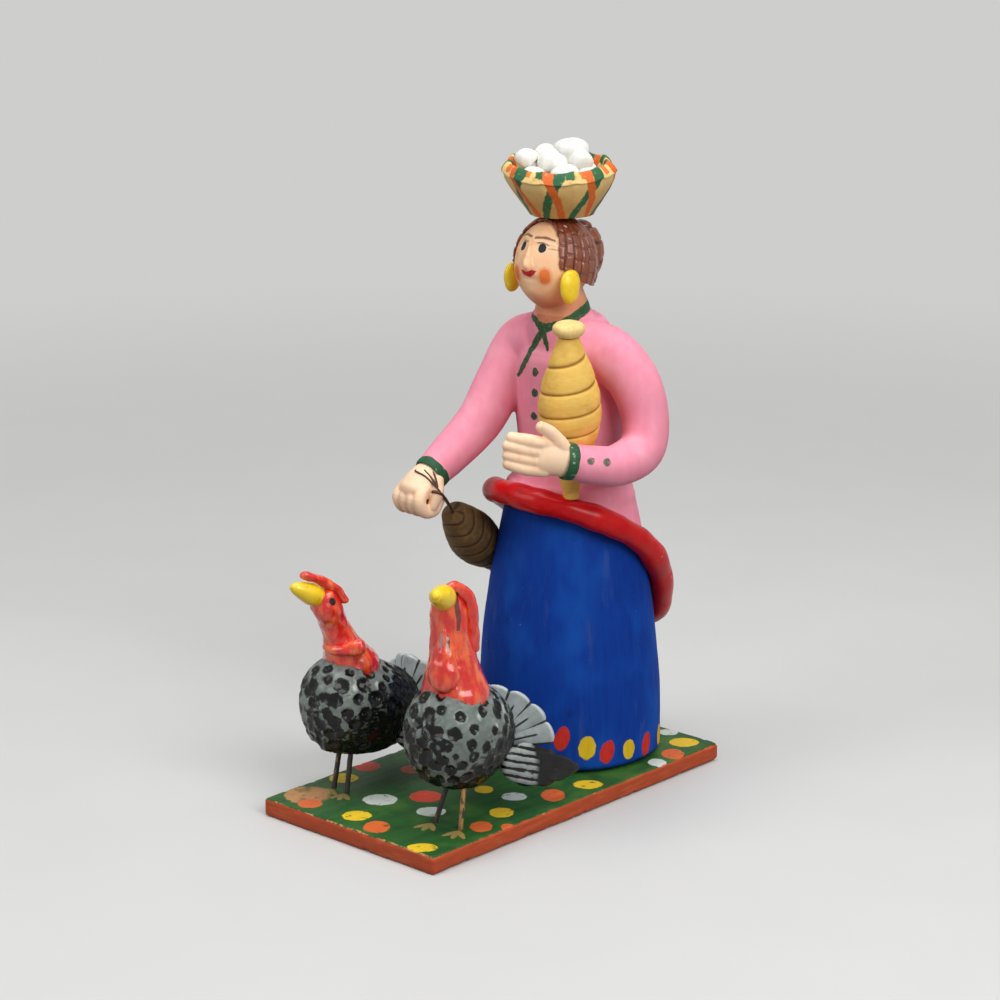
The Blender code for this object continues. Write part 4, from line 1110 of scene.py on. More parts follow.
# spindle: yarn wound thick in the middle, leaning on the skirt
spindleLook = {
    "lean": (-0.12, 0.72, -0.68),
    "offset": (1.0, 15.0, -9.8),
    "length": 40,
    "radius": 9.0,
    "top": 4.6,
    "foot": 3.0,
    "belly": 0.45,
    "shoulder": 1.0,
    "rings": 8,
    "ringSway": 0.15,
    "groove": 0.3,
    "grooveWidth": 0.22,
    "close": (0.05, 0.03),
    "crown": 0.8,
    "lumps": ((5, 0.2, 6.6),),
    "wire": 0.6,
    "wireDepth": 4.0,
    "outlet": (-17.0, -10.4, 105.8),
    "thread": 0.32,
    "threads": (
        (
            (-27.6, -11.0, 112.4), (-25.8, -13.2, 112.6), (-22.4, -12.8, 111.7), (-20.2, -11.7, 109.7),
            (-17.8, -10.7, 107.3), (-17.2, -9.5, 105.6),
        ),
        (
            (-26.2, -9.6, 113.0), (-23.6, -11.0, 112.8), (-21.2, -10.9, 111.2), (-19.0, -10.6, 109.0),
            (-17.8, -10.5, 106.6),
        ),
        ((-24.0, -9.5, 113.0), (-21.6, -9.0, 112.2), (-19.4, -9.9, 110.3), (-17.9, -10.6, 107.9)),
    ),
}


def makeSpindle():
    hold = wristFrame("rightSleeve")
    grip = np.array(hold @ (Vector(handLook["grip"]) * mm)) / mm
    top = grip + np.array(spindleLook["offset"])
    along = np.array(spindleLook["lean"])
    along /= np.linalg.norm(along)
    length = spindleLook["length"]

    def grooveAt(share, a):
        turn = share * spindleLook["rings"] + a / (2 * math.pi) + spindleLook["ringSway"] * np.sin(3 * a)
        return grooves(turn, spindleLook["grooveWidth"])

    def shape(t, a):
        first, last = spindleLook["close"]
        share = np.clip((t - first) / (1 - first - last), 0, 1)
        cap = np.sin(np.clip(np.minimum(t / first, (1 - t) / last), 0, 1) * math.pi / 2)
        radius = (windingRadius(spindleLook, share) - spindleLook["groove"] * grooveAt(share, a)) * cap
        crown = spindleLook["crown"] * np.clip(1 - t / first, 0, 1)
        return radius * np.cos(a), radius * np.sin(a), crown - length * share

    yarn = mould("spindle_yarn_wound", 72, 120, shape)
    spots = spotsOf(yarn) / mm
    store(yarn, "groove", grooveAt(-spots[:, 2] / length, np.arctan2(spots[:, 1], spots[:, 0])))
    yarn.data.transform(axisFrame(top, -along))
    knead(yarn, spindleLook["lumps"])

    def strand(name, points, r, segments):
        return limb(name, [(*point, r, r) for point in points], segments, 60)

    core = (grip, spindleLook["outlet"], top, top + along * spindleLook["wireDepth"])
    lines = [strand("wire_core", core, spindleLook["wire"], 16)]
    for k, points in enumerate(spindleLook["threads"]):
        lines.append(strand(f"thread_{k}", points, spindleLook["thread"], 10))
    return yarn, joinPieces("spindle_wire_bent", lines)


# turkeys, each built about the point between its feet, beak to -Y, then set on the slab
turkeyLook = {
    "halfWidth": 15.8,
    "halfHeight": 17.2,
    "middle": 30.2,
    "body": (
        (-11.6, 0.20, 0.20, -3.0), (-9.8, 0.55, 0.56, -2.8), (-4.6, 0.86, 0.90, -2.2),
        (4.0, 1.00, 1.00, -0.4), (13.0, 0.96, 0.97, 2.4), (22.0, 0.77, 0.84, 5.2),
        (29.5, 0.53, 0.62, 9.0), (35.0, 0.36, 0.38, 12.4), (37.0, 0.16, 0.18, 13.6),
    ),
    "bodyBend": 4,
    "dents": 180,
    "dentRadius": 2.15,
    "dentDepth": 0.8,
    "dentStray": 0.55,
    "dentLip": 0.28,
    "dentTurn": 2.39996,
    "core": (0, 12.0, 29.0),
    "span": (15.8, 25.0, 17.2),
    "dentLipPlace": (1.15, 0.22),
    "dentSpread": (0.75, 1.25),
    "dusk": (0.5, 0.6, 1.05),
    "duskReach": 26,
    "duskFrom": 0.3,
    "lumps": {
        "body": ((14, 0.5, 0),),
        "neck": ((6, 0.55, 0), (2.4, 0.3, 2)),
        "beak": ((4, 0.2, 5),),
        "comb": ((2.6, 0.35, 7),),
        "wattle": ((2.8, 0.45, 9),),
        "tail": ((5, 0.25, 3),),
        "wing": ((5, 0.25, 0),),
        "leg": ((2.0, 0.12, 0),),
    },
    "neckFoot": (0, 5.5, 44.65),
    "throat": 6.2,
    "beakLength": 11.2,
    "beak": ((-0.08, 0.85), (0.05, 0.97), (0.25, 1.02), (0.62, 0.82), (0.90, 0.52), (0.98, 0.30)),
    "beakSeat": 0.55,
    "combRadius": 2.2,
    "combGrow": (0.62, 0.42),
    "combWide": 0.95,
    "fan": {
        "root": (0, 29, 21.6), "rootRadius": 1.2, "radius": 20.6, "feathers": 7, "notch": 1.3, "bulge": 0.75,
        "thick": 2.4, "from": 12, "spread": 156, "sweep": 25, "lean": 12, "across": 17, "along": 30,
        "notchRound": 2.4, "bulgeFrom": 0.5, "seam": 0.22, "shaft": 0.14, "shaftDepth": 0.95,
        "shaftEnd": (0.9, 0.25),
    },
    "wing": (
        (19.5, 10.2, 19.0, 4.2, 2.0), (26.5, 12.4, 17.0, 7.4, 2.2), (35.0, 14.8, 13.6, 6.6, 2.0),
        (43.5, 16.8, 11.4, 4.2, 1.5), (50.0, 18.4, 10.2, 1.0, 0.7),
    ),
    "barStep": 2.7,
    "barSlope": 0.38,
    "barFrom": 30,
    "barWidth": 0.38,
    "barEnd": (47, 8),
    "barDepth": 0.4,
    "legRadius": 0.9,
    "legDepth": 3.5,
    "knee": 0.6,
    "hip": (3.5, 16.5),
}
birdLook = {
    "turkey_a": {
        "place": (-26.2, -51.8), "turn": -4, "stance": 7.0, "seed": 11,
        "long": 1.0, "tall": 1.0, "blackFrom": 1.0,
        "side": 0.0, "reach": -10.0, "height": 23.7, "look": -8, "rise": 28, "lift": 3.0, "beak": 3.6,
        "neck": (
            (-0.2, 9.8), (0.0, 9.7), (0.12, 8.6), (0.38, 5.9),
            (0.64, 4.7), (0.86, 5.1), (1.0, 5.3), (1.13, 4.3),
        ),
        "bare": ((0.6, 0.72), (0.6, 0.72)),
        "hips": {-1: 0.8, 1: 0.8},
        "comb": ((0, -8.6, 11.4), (0.6, -2.6, 8.8), (1.6, 2.6, 5.2), (2.4, 6.0, 0.8)),
        "combFlat": 0.75,
        "eye": (((-21.9, -57.5, 76.6, 1.3),),),
        "line": (),
        "wattle": (
            (-4.0, 3.6, -16.2, 0.8, 0.8), (-2.6, 1.4, -16.2, 1.1, 1.1), (1.0, 0.8, -16.2, 1.4, 1.4),
            (4.4, 2.6, -16.0, 1.9, 1.9), (6.8, 6.0, -15.4, 2.5, 2.5), (8.0, 8.4, -14.8, 2.7, 2.7),
        ),
    },
    "turkey_b": {
        "place": (24.0, -51.2), "turn": 6, "stance": 11.6, "seed": 23,
        "long": 0.87, "tall": 1.08, "blackFrom": 14.0,
        "side": -0.8, "reach": -2.5, "height": 29.6, "look": 20, "rise": 20, "lift": 5.6, "beak": 4.1,
        "neck": ((-0.14, 11.2), (0.06, 11.4), (0.28, 9.5), (0.58, 7.2), (0.85, 6.3), (1.0, 6.2), (1.12, 5.3)),
        "bare": ((0.6, 0.72), (0.4, 0.52)),
        "hips": {-1: 0.15, 1: 0.9},
        "comb": ((0, -5.0, 6.2), (2.2, -0.6, 8.6), (6.2, 2.6, 4.0), (7.2, 3.2, -4.0), (7.8, 3.4, -13.0)),
        "combFlat": 1.0,
        "eye": (),
        "line": (
            (
                (26.2, -48.1, 87.2, 0.8), (28.1, -49.7, 83.9, 0.9), (28.8, -49.5, 79.2, 0.8),
                (28.9, -50.1, 75.9, 0.5),
            ),
            ((25.7, -54.3, 75.4, 0.3), (26.4, -55.6, 72.6, 0.6), (27.1, -56.8, 70.3, 0.3)),
            ((27.7, -53.6, 74.4, 0.3), (28.5, -54.5, 71.8, 0.6), (29.7, -55.3, 69.5, 0.3)),
        ),
        "wattle": (
            (0.4, -5.0, -5.0, 1.0, 1.2), (0.5, -5.8, -7.5, 2.4, 2.2), (0.6, -6.8, -13.0, 4.2, 3.4),
            (0.7, -7.8, -19.0, 5.6, 4.0), (0.6, -8.2, -22.5, 4.8, 3.4), (0.5, -8.0, -24.5, 2.6, 1.8),
        ),
    },
}


def birdFrame(build):
    place = Vector((*build["place"], slabTop)) * mm
    return Matrix.Translation(place) @ Matrix.Rotation(math.radians(build["turn"]), 4, "Z")


def birdHead(build):
    return np.array(turkeyLook["neckFoot"]) + np.array([build["side"], build["reach"], build["height"]])


def looking(build, rows):
    turn = Matrix.Rotation(math.radians(build["look"]), 3, "Z")
    head = birdHead(build)
    return [(*(head + np.array(turn @ Vector(row[:3]))), *row[3:]) for row in rows]


def birdLimb(name, build, rows, segments, rings, lumps, seed=0, **how):
    piece = limb(name, rows, segments, rings, **how)
    knead(piece, lumps, build["seed"] + seed)
    piece.data.transform(birdFrame(build))
    return piece


def makeBirdBody(name, build):
    rows = []
    high = build["tall"] * turkeyLook["halfHeight"]
    middle = turkeyLook["middle"] + high - turkeyLook["halfHeight"]
    bend = turkeyLook["bodyBend"]
    for back, wide, tall, drop in turkeyLook["body"]:
        back = min(back, bend) + build["long"] * max(back - bend, 0)
        rows.append((0, back, middle - drop, wide * turkeyLook["halfWidth"], tall * high))
    body = limb(name + "_plump_body", rows, 128, 110, bulge=(0.45, 0.5), caps=9)
    knead(body, turkeyLook["lumps"]["body"], build["seed"])
    spots = spotsOf(body) / mm
    # small dents, spread by the golden angle, each pushed in with a round tool
    draw = np.random.default_rng(build["seed"])
    count = turkeyLook["dents"]
    share = (np.arange(count) + 0.5) / count
    lat = np.arccos(1 - 2 * share)
    lon = np.arange(count) * turkeyLook["dentTurn"] + build["seed"]
    aim = np.stack([np.sin(lat) * np.cos(lon), np.cos(lat), np.sin(lat) * np.sin(lon)], axis=1)
    unit = (spots - np.array(turkeyLook["core"])) / np.array(turkeyLook["span"])
    unit /= np.linalg.norm(unit, axis=1)[:, None]
    near = np.argmax(aim @ unit.T, axis=1)
    centres = spots[near] + draw.normal(0, turkeyLook["dentStray"], (count, 3))
    size = turkeyLook["dentRadius"] * draw.uniform(*turkeyLook["dentSpread"], count)
    away = np.linalg.norm(spots[:, None, :] - centres[None, :, :], axis=2) / size
    nearest = away.min(axis=1)
    bowl = np.clip(1 - nearest**2, 0, 1)
    edge, width = turkeyLook["dentLipPlace"]
    lip = np.exp(-((nearest - edge) / width) ** 2)
    pushOut(body, turkeyLook["dentLip"] * lip - turkeyLook["dentDepth"] * bowl)
    store(body, "dent", nearest)
    x, back, z = spots.T
    left, rear, low = turkeyLook["dusk"]
    dusk = rear * (back - build["blackFrom"]) + left * x + low * (turkeyLook["middle"] - z)
    store(body, "dark", ease(dusk / turkeyLook["duskReach"] + turkeyLook["duskFrom"]))
    body.data.transform(birdFrame(build))
    return body


def makeBirdNeck(name, build):
    head = birdHead(build)
    foot = np.array(turkeyLook["neckFoot"])
    rows = [(*(foot + (head - foot) * share), radius, radius) for share, radius in build["neck"]]
    lumps = turkeyLook["lumps"]["neck"]
    return birdLimb(name + "_red_neck", build, rows, 72, 90, lumps, bulge=(0.2, 0.5), caps=8)


def makeBirdFace(name, build):
    head = birdHead(build)
    turn = Matrix.Rotation(math.radians(build["look"]), 3, "Z")
    ahead = np.array(turn @ Vector((0, -1, 0)))
    rise = math.radians(build["rise"])
    way = ahead * math.cos(rise) + np.array([0, 0, math.sin(rise)])
    root = head + ahead * turkeyLook["beakSeat"] * turkeyLook["throat"] + np.array([0, 0, build["lift"]])
    length, thick = turkeyLook["beakLength"], build["beak"]
    rows = []
    for share, grow in turkeyLook["beak"]:
        rows.append((*(root + way * length * share), thick * grow, thick * grow))
    lumps = turkeyLook["lumps"]
    beak = birdLimb(
        name + "_yellow_beak", build, rows, 40, 50, lumps["beak"], side=(0, 0, 1), bulge=(0.2, 0.6)
    )

    line = looking(build, build["comb"])
    least, more = turkeyLook["combGrow"]
    rows = []
    for k, row in enumerate(line):
        grow = turkeyLook["combRadius"] * (least + more * math.sin(math.pi * (k + 1) / (len(line) + 1)))
        rows.append((*row, turkeyLook["combWide"] * grow, grow * build["combFlat"]))
    comb = birdLimb(name + "_red_comb", build, rows, 28, 60, lumps["comb"], side=(1, 0.05, 0.1))
    rows = looking(build, build["wattle"])
    wattle = birdLimb(name + "_red_wattle", build, rows, 44, 60, lumps["wattle"], side=(1, 0.1, 0))
    return beak, comb, wattle


def makeBirdTail(name, build):
    look = turkeyLook["fan"]
    clearSelection()
    across = look["across"] * look["feathers"]
    bpy.ops.mesh.primitive_grid_add(x_subdivisions=across, y_subdivisions=look["along"], size=2)
    tail = bpy.context.object
    tail.name = name + "_fan_tail"
    flat = spotsOf(tail)
    u = (flat[:, 0] + 1) / 2
    v = (flat[:, 1] + 1) / 2
    angle = np.radians(look["from"] + look["spread"] * u)
    inFeather = (u * look["feathers"]) % 1.0
    middle = np.abs(inFeather - 0.5) * 2
    tip = look["radius"] - look["notch"] * middle ** look["notchRound"]
    reach = look["rootRadius"] + (tip - look["rootRadius"]) * v
    x = reach * np.cos(angle)
    z = reach * np.sin(angle)
    bulge = look["bulge"] * (1 - middle**2) * ease(v / look["bulgeFrom"])
    y = np.abs(x) * math.tan(math.radians(look["sweep"])) - bulge
    end, fade = look["shaftEnd"]
    shaft = look["shaftDepth"] * np.exp(-(middle / look["shaft"]) ** 2) * ease((end - v) / fade)
    groove = np.maximum(np.exp(-((1 - middle) / look["seam"]) ** 2), shaft)
    moveSpots(tail, np.stack([x, y, z], axis=1) * mm)
    store(tail, "groove", groove)
    store(tail, "out", v)
    applyModifier(tail, "SOLIDIFY", thickness=look["thick"] * mm, offset=0.0)
    applyModifier(tail, "SMOOTH", factor=0.4, iterations=2)
    faceOut(tail)
    knead(tail, turkeyLook["lumps"]["tail"], build["seed"])
    root = Vector(look["root"]) * mm
    root.y *= build["long"]
    place = Matrix.Translation(root) @ Matrix.Rotation(-math.radians(look["lean"]), 4, "X")
    tail.data.transform(birdFrame(build) @ place)
    return tail


def makeBirdWing(name, build, side):
    rows = [(side * out, back, level, thick, tall) for back, out, level, tall, thick in turkeyLook["wing"]]
    word = "left" if side > 0 else "right"
    wing = limb(f"{name}_{word}_drooped_wing", rows, 56, 80, bulge=(0.6, 0.3))
    _, back, up = spotsOf(wing).T / mm
    feather = (up + turkeyLook["barSlope"] * (back - turkeyLook["barFrom"])) / turkeyLook["barStep"]
    groove = grooves(feather, turkeyLook["barWidth"])
    tip, fade = turkeyLook["barEnd"]
    pushOut(wing, -turkeyLook["barDepth"] * groove * ease((tip - back) / fade))
    store(wing, "groove", groove)
    store(wing, "along", back)
    knead(wing, turkeyLook["lumps"]["wing"], build["seed"] + side)
    wing.data.transform(birdFrame(build))
    return wing


def makeBirdLeg(name, build, side):
    half = side * build["stance"] / 2
    r = turkeyLook["legRadius"]
    hip = (build["hips"][side] * half, *turkeyLook["hip"])
    foot = (half, 0, -turkeyLook["legDepth"])
    knee = tuple(a + (b - a) * turkeyLook["knee"] for a, b in zip(foot, hip))
    word = "left" if side > 0 else "right"
    rows = [(*point, r, r) for point in (foot, knee, hip)]
    lumps = turkeyLook["lumps"]["leg"]
    return birdLimb(f"{name}_{word}_wire_leg", build, rows, 16, 40, lumps, 2 * side)


# dots on the slab: place, half width and half length in mm, all turned by dotTurn
slabDots = {
    "yellow": (
        (-33.6, -42.3, 5.2, 4.8), (-4.8, -64.4, 5.0, 4.7), (31.3, -70.0, 5.1, 3.9), (29.1, -29.3, 4.3, 4.7),
        (33.1, 10.6, 5.2, 4.3), (9.9, -17.4, 3.3, 3.7), (30.6, 66.0, 5.4, 4.7), (-30.5, 14.0, 4.8, 4.4),
        (-12.0, -14.5, 4.4, 4.0), (-34.0, 62.0, 5.0, 4.2),
    ),
    "red": (
        (-35.9, -28.5, 4.7, 5.1), (-0.1, -35.8, 5.8, 5.5), (-33.5, -4.0, 4.6, 4.4), (-36.0, 36.0, 4.2, 4.8),
    ),
    "orange": (
        (-24.5, -67.2, 4.3, 4.2), (7.3, -67.1, 4.6, 5.5), (31.1, -5.4, 4.2, 6.1), (32.8, -43.3, 3.9, 4.9),
        (35.2, 54.1, 4.1, 5.3), (-22.0, -20.0, 4.4, 4.2), (-22.0, 70.0, 4.4, 3.0), (39.5, -37.4, 2.4, 3.1),
    ),
    "white": (
        (-9.5, -48.5, 6.0, 5.4), (11.0, -44.7, 5.2, 4.4), (22.1, -15.3, 4.4, 3.9), (36.7, 43.6, 3.3, 3.9),
        (19.5, 70.6, 3.7, 3.4), (-36.2, 51.0, 3.4, 3.8), (-14.0, 2.0, 4.2, 3.6), (0.5, 71.2, 4.0, 2.6),
    ),
    "clay": ((-31.0, -62.2, 8.2, 8.4),),
}
# claw marks: a foot's middle, its length, and which way it points
slabClaws = (
    (-29.7, -52.5, 7.5, 0.5), (-22.7, -52.9, 7.0, 0.5), (18.3, -52.5, 8.0, 0.35), (29.8, -51.2, 8.0, 0.45),
)


def ragged(paint, dist, seed, low=0.93, high=1.02, amount=0.3):
    wobble = paint.cloud(2.2, seed, 3) - 0.5
    return 1 - paint.step(dist + amount * wobble, low, high)


def slabPaint():
    paint = Finish("slabPaint", Specular_IOR_Level=0.3)
    z = paint.level()
    brush = paint.cloud((2.2, 24, 8), 2, 4, 0.35)
    broad = paint.cloud(17, 3)
    fine = paint.cloud(0.8, 4, 3)
    green = paint.mix(brush, tone(17, 60, 24), tone(44, 99, 36))
    green = paint.mix(0.55 * paint.step(broad, 0.48, 0.72), green, tone(74, 118, 44))
    green = paint.mix(0.5 * paint.step(paint.cloud(9, 5), 0.55, 0.75), green, tone(12, 42, 20))
    tones = {
        "clay": (tone(196, 148, 96), tone(174, 118, 70)),
        "yellow": (tone(240, 206, 44), tone(214, 172, 24)),
        "red": (tone(214, 74, 44), tone(184, 52, 34)),
        "orange": (tone(226, 112, 52), tone(200, 88, 38)),
        "white": (tone(226, 230, 222), tone(184, 196, 186)),
    }
    turn = math.radians(slabLook["dotTurn"])
    top = green
    relief = 0.25 * brush
    for k, (name, (light, dark)) in enumerate(tones.items()):
        ovals = [paint.oval((px, py, slabTop), (rx, ry, 4), turn) for px, py, rx, ry in slabDots[name]]
        mask = ragged(paint, paint.least(ovals), 20 + k)
        if name == "clay":
            mask = mask * paint.step(paint.cloud(6, 31, 2), 0.25, 0.55)
        streak = paint.cloud((1.2, 6, 6), 40 + k, 3, turn)
        worn = 1 - 0.75 * paint.step(paint.cloud(2.4, 50 + k, 4), 0.6, 0.72)
        top = paint.mix(mask * worn, top, paint.mix(streak, light, dark))
        relief = relief + 0.4 * mask
    toes = []
    for px, py, length, aim in slabClaws:
        for spread in (-0.55, 0.0, 0.55):
            way = aim + spread
            tx, ty = px + 0.45 * length * math.sin(way), py - 0.45 * length * math.cos(way)
            toes.append(paint.oval((tx, ty, slabTop), (1.15, 0.5 * length, 4), way))
    claw = ragged(paint, paint.least(toes), 33, 0.8, 1.0, 0.5)
    top = paint.mix(0.65 * claw, top, paint.mix(fine, tone(206, 172, 104), tone(160, 120, 66)))
    # orange edge, clay where the rims are rubbed through, bare clay beneath
    edge = paint.mix(paint.cloud((7, 7, 0.9), 6, 4), tone(158, 56, 28), tone(202, 88, 44))
    edge = paint.mix(0.35 * paint.step(paint.cloud((14, 14, 2), 7, 4), 0.5, 0.72), edge, tone(218, 116, 70))
    onTop = paint.step(z + 0.0007 * (fine - 0.5), 5.75 * mm, 6.1 * mm)
    colour = paint.mix(onTop, edge, top)
    rub = paint.field("rim") + 0.9 * (paint.cloud(1.6, 8, 4) - 0.5) + 0.5 * (paint.cloud(9, 9) - 0.5)
    rubbed = paint.step(rub, 0.74, 0.92)
    colour = paint.mix(0.85 * rubbed, colour, paint.mix(fine, tone(222, 172, 122), tone(190, 112, 66)))
    under = 1 - paint.step(z, 0.25 * mm, 0.5 * mm)
    colour = paint.mix(under, colour, paint.mix(broad, tone(178, 110, 74), tone(150, 88, 60)))
    return paint.done(colour, 0.42 + 0.22 * fine + 0.2 * rubbed, relief + 0.5 * fine - 0.5 * rubbed, 0.16)


# hem dots: degrees from the front, height, half width, half height, lean
hemDots = {
    "red": (
        (37.2, 19.4, 2.7, 4.6, 0.25), (65.6, 13.7, 2.9, 4.4, 0.3), (98.3, 12.4, 2.5, 4.6, 0.2),
        (133, 12.6, 2.7, 4.4, 0.2), (163, 12.8, 2.7, 4.4, 0.1), (193, 12.6, 2.7, 4.4, 0.2),
        (223, 12.8, 2.8, 4.5, 0.1), (254, 12.6, 2.7, 4.4, 0.2), (285, 13.6, 2.7, 4.4, 0.2),
        (316, 15.0, 2.7, 4.4, 0.2), (345, 17.0, 2.7, 4.4, 0.2),
    ),
    "yellow": (
        (52.6, 15.9, 3.2, 4.4, 0.1), (81.8, 13.0, 2.9, 3.7, 0.1), (119.2, 12.0, 2.7, 4.2, 0.1),
        (148, 12.4, 2.9, 4.1, 0.1), (178, 12.6, 2.9, 4.1, 0.1), (208, 12.6, 2.9, 4.1, 0.1),
        (238, 12.6, 2.9, 4.1, 0.1), (270, 13.2, 2.9, 4.1, 0.1), (300, 14.4, 2.9, 4.1, 0.1),
        (330, 16.2, 2.9, 4.1, 0.1), (0, 17.6, 2.9, 4.1, 0.1), (17, 18.8, 2.9, 4.1, 0.1),
    ),
}


def hemOvals(paint, rows):
    ax, ay = skirtLook["axis"]
    ovals = []
    for degrees, z, wide, tall, lean in rows:
        angle = math.radians(degrees)
        reach = float(skirtRadius(z))
        centre = (ax + reach * math.sin(angle), ay - reach * math.cos(angle), z)
        ovals.append(paint.oval(centre, (wide, 6, tall), angle, lean))
    return paint.least(ovals)


def skirtPaint():
    paint = Finish("skirtPaint", Specular_IOR_Level=0.15)
    z = paint.level()
    streak = paint.cloud((1.5, 1.5, 26), 1, 4)
    thin = paint.cloud((0.5, 0.5, 12), 2, 3)
    broad = paint.cloud((15, 15, 24), 3)
    fine = paint.cloud(0.5, 4, 3)
    blue = paint.mix(streak, tone(4, 47, 136), tone(8, 66, 162))
    blue = paint.mix(0.25 * thin, blue, tone(2, 46, 132))
    blue = paint.mix(0.6 * paint.step(broad, 0.44, 0.72), blue, tone(18, 86, 182))
    faded = paint.step(paint.cloud((5, 5, 22), 5, 4), 0.58, 0.76)
    blue = paint.mix(0.3 * faded, blue, tone(70, 92, 148))
    smudge = paint.step(paint.cloud((6, 6, 8), 6, 3), 0.62, 0.78)
    blue = paint.mix(0.45 * smudge, blue, tone(16, 30, 72))
    speck = paint.step(paint.cloud(1.3, 7, 1), 0.79, 0.82)
    blue = paint.mix(0.45 * speck, blue, tone(170, 184, 210))
    colour = blue
    relief = 0.5 * streak + 0.3 * thin
    for k, (name, light, dark) in enumerate((
        ("red", tone(222, 62, 46), tone(180, 36, 34)), ("yellow", tone(238, 204, 46), tone(206, 166, 28))
    )):
        mask = ragged(paint, hemOvals(paint, hemDots[name]), 60 + k, 0.9, 1.02, 0.34)
        colour = paint.mix(mask, colour, paint.mix(paint.cloud((1.2, 1.2, 5), 64 + k, 3), light, dark))
        relief = relief + 0.5 * mask
    # painted shade: the bottom of the skirt, where the hem turns under, darkens to deep blue
    foot = 1 - paint.step(z + 0.002 * (streak - 0.5), 7.3 * mm, 9.0 * mm)
    colour = paint.mix(0.6 * foot, colour, tone(12, 22, 60))
    return paint.done(colour, 0.62 + 0.22 * fine - 0.1 * faded, relief + 0.35 * fine, 0.13)


def rollPaint():
    paint = Finish("rollPaint", Specular_IOR_Level=0.15, Coat_Roughness=0.16)
    streak = paint.cloud((4, 4, 1.6), 1, 4)
    broad = paint.cloud(12, 2)
    fine = paint.cloud(0.6, 3, 3)
    red = paint.mix(streak, tone(188, 5, 13), tone(216, 18, 19))
    red = paint.mix(0.5 * paint.step(broad, 0.5, 0.7), red, tone(158, 3, 12))
    chip = paint.step(paint.cloud(2.0, 4, 2), 0.74, 0.77)
    red = paint.mix(0.8 * chip, red, tone(226, 150, 140))
    dull = paint.step(paint.cloud(5, 5, 3), 0.5, 0.7)
    gloss = 0.22 - 0.13 * dull
    return paint.done(red, 0.3 + 0.2 * dull + 0.1 * fine, 0.5 * streak + 0.4 * fine - 0.6 * chip, 0.1, gloss)


# brushwork on the blouse, as strokes of (x, y, z, half width) on its skin
blouseStrokes = {
    "scarf": (
        ((-3.9, 23.8, 163.2, 1.1), (-2.3, 23.3, 162.1, 1.4), (-0.2, 23.0, 160.9, 1.8)),
        (
            (-0.2, 23.0, 160.9, 1.8), (2.3, 23.3, 161.4, 1.5), (4.4, 24.0, 162.1, 1.5),
            (7.1, 25.6, 163.1, 1.5), (8.9, 28.2, 164.5, 1.6), (9.5, 32.1, 166.3, 1.7),
            (8.4, 37.3, 167.8, 1.7), (5.0, 41.5, 168.4, 1.7), (0.0, 43.0, 168.7, 1.7),
            (-5.0, 41.5, 168.2, 1.6), (-8.6, 37.0, 166.8, 1.5), (-9.4, 32.5, 165.4, 1.4),
            (-7.6, 27.0, 164.0, 1.2), (-3.9, 23.8, 163.2, 1.1),
        ),
        (
            (-0.6, 23.0, 159.1, 1.3), (-2.2, 23.2, 157.1, 1.3), (-4.0, 23.7, 155.0, 1.4),
            (-5.6, 23.6, 152.6, 1.4), (-6.0, 21.9, 149.7, 1.4), (-7.5, 21.9, 147.3, 1.3),
            (-9.5, 22.6, 144.8, 1.2), (-11.6, 23.6, 142.5, 0.8),
        ),
        ((0.3, 23.0, 159.2, 1.3), (1.1, 23.1, 157.2, 1.1), (1.5, 23.4, 155.1, 0.9), (2.0, 23.6, 153.4, 0.5)),
    ),
    "throat": (
        ((-2.6, 23.2, 165.4, 1.3), (0.2, 22.9, 163.8, 1.2), (2.8, 23.3, 163.9, 1.0), (5.4, 24.4, 164.9, 1.0),
         (7.4, 26.2, 166.0, 0.9), (8.8, 29.0, 167.4, 0.8)),
        ((-2.0, 23.2, 166.6, 1.4), (2.4, 23.2, 166.0, 1.4), (6.0, 24.9, 166.8, 1.2)),
    ),
    "button": (((-1.1, 20.5, 145.7, 1.5),), ((-1.3, 20.5, 138.3, 1.5),), ((-1.6, 20.7, 130.0, 1.5),)),
    "cuffDot": (((36.7, 6.5, 123.5, 1.35),), ((39.4, 11.6, 122.6, 1.35),)),
}


def blousePaint():
    paint = Finish("blousePaint", Specular_IOR_Level=0.25)
    broad = paint.cloud(11, 1)
    brush = paint.cloud((3, 3, 9), 2, 4)
    fine = paint.cloud(0.55, 3, 3)
    pink = paint.mix(brush, tone(238, 138, 162), tone(250, 162, 182))
    pink = paint.mix(0.5 * paint.step(broad, 0.5, 0.75), pink, tone(252, 182, 196))
    pink = paint.mix(0.22 * paint.step(paint.cloud(9, 4, 3), 0.5, 0.78), pink, tone(222, 102, 134))
    speck = paint.step(paint.cloud(1.1, 5, 2), 0.72, 0.76)
    pink = paint.mix(0.35 * speck, pink, tone(180, 96, 110))
    wobble = 1.1 * (paint.cloud(1.6, 6, 3) - 0.5)
    colour, relief = pink, 0.5 * brush
    for name, light, dark, worn in (
        # skin showing at the neck opening, in the darker tone of the painted shade under the chin
        ("throat", tone(214, 140, 100), tone(190, 112, 76), 0.0),
        ("scarf", tone(48, 98, 56), tone(26, 62, 36), 0.1),
        ("button", tone(52, 98, 58), tone(28, 64, 38), 0.1),
        ("cuffDot", tone(96, 112, 88), tone(70, 92, 70), 0.35),
    ):
        mask = 1 - paint.step(paint.field(name) + wobble, -0.2, 0.2)
        mask = mask * (1 - worn * paint.step(paint.cloud(0.9, 8, 3), 0.5, 0.62))
        colour = paint.mix(mask, colour, paint.mix(paint.cloud((1, 1, 4), 7, 3), light, dark))
        relief = relief + 0.5 * mask
    return paint.done(colour, 0.6 + 0.2 * fine, relief + 0.45 * fine, 0.11)


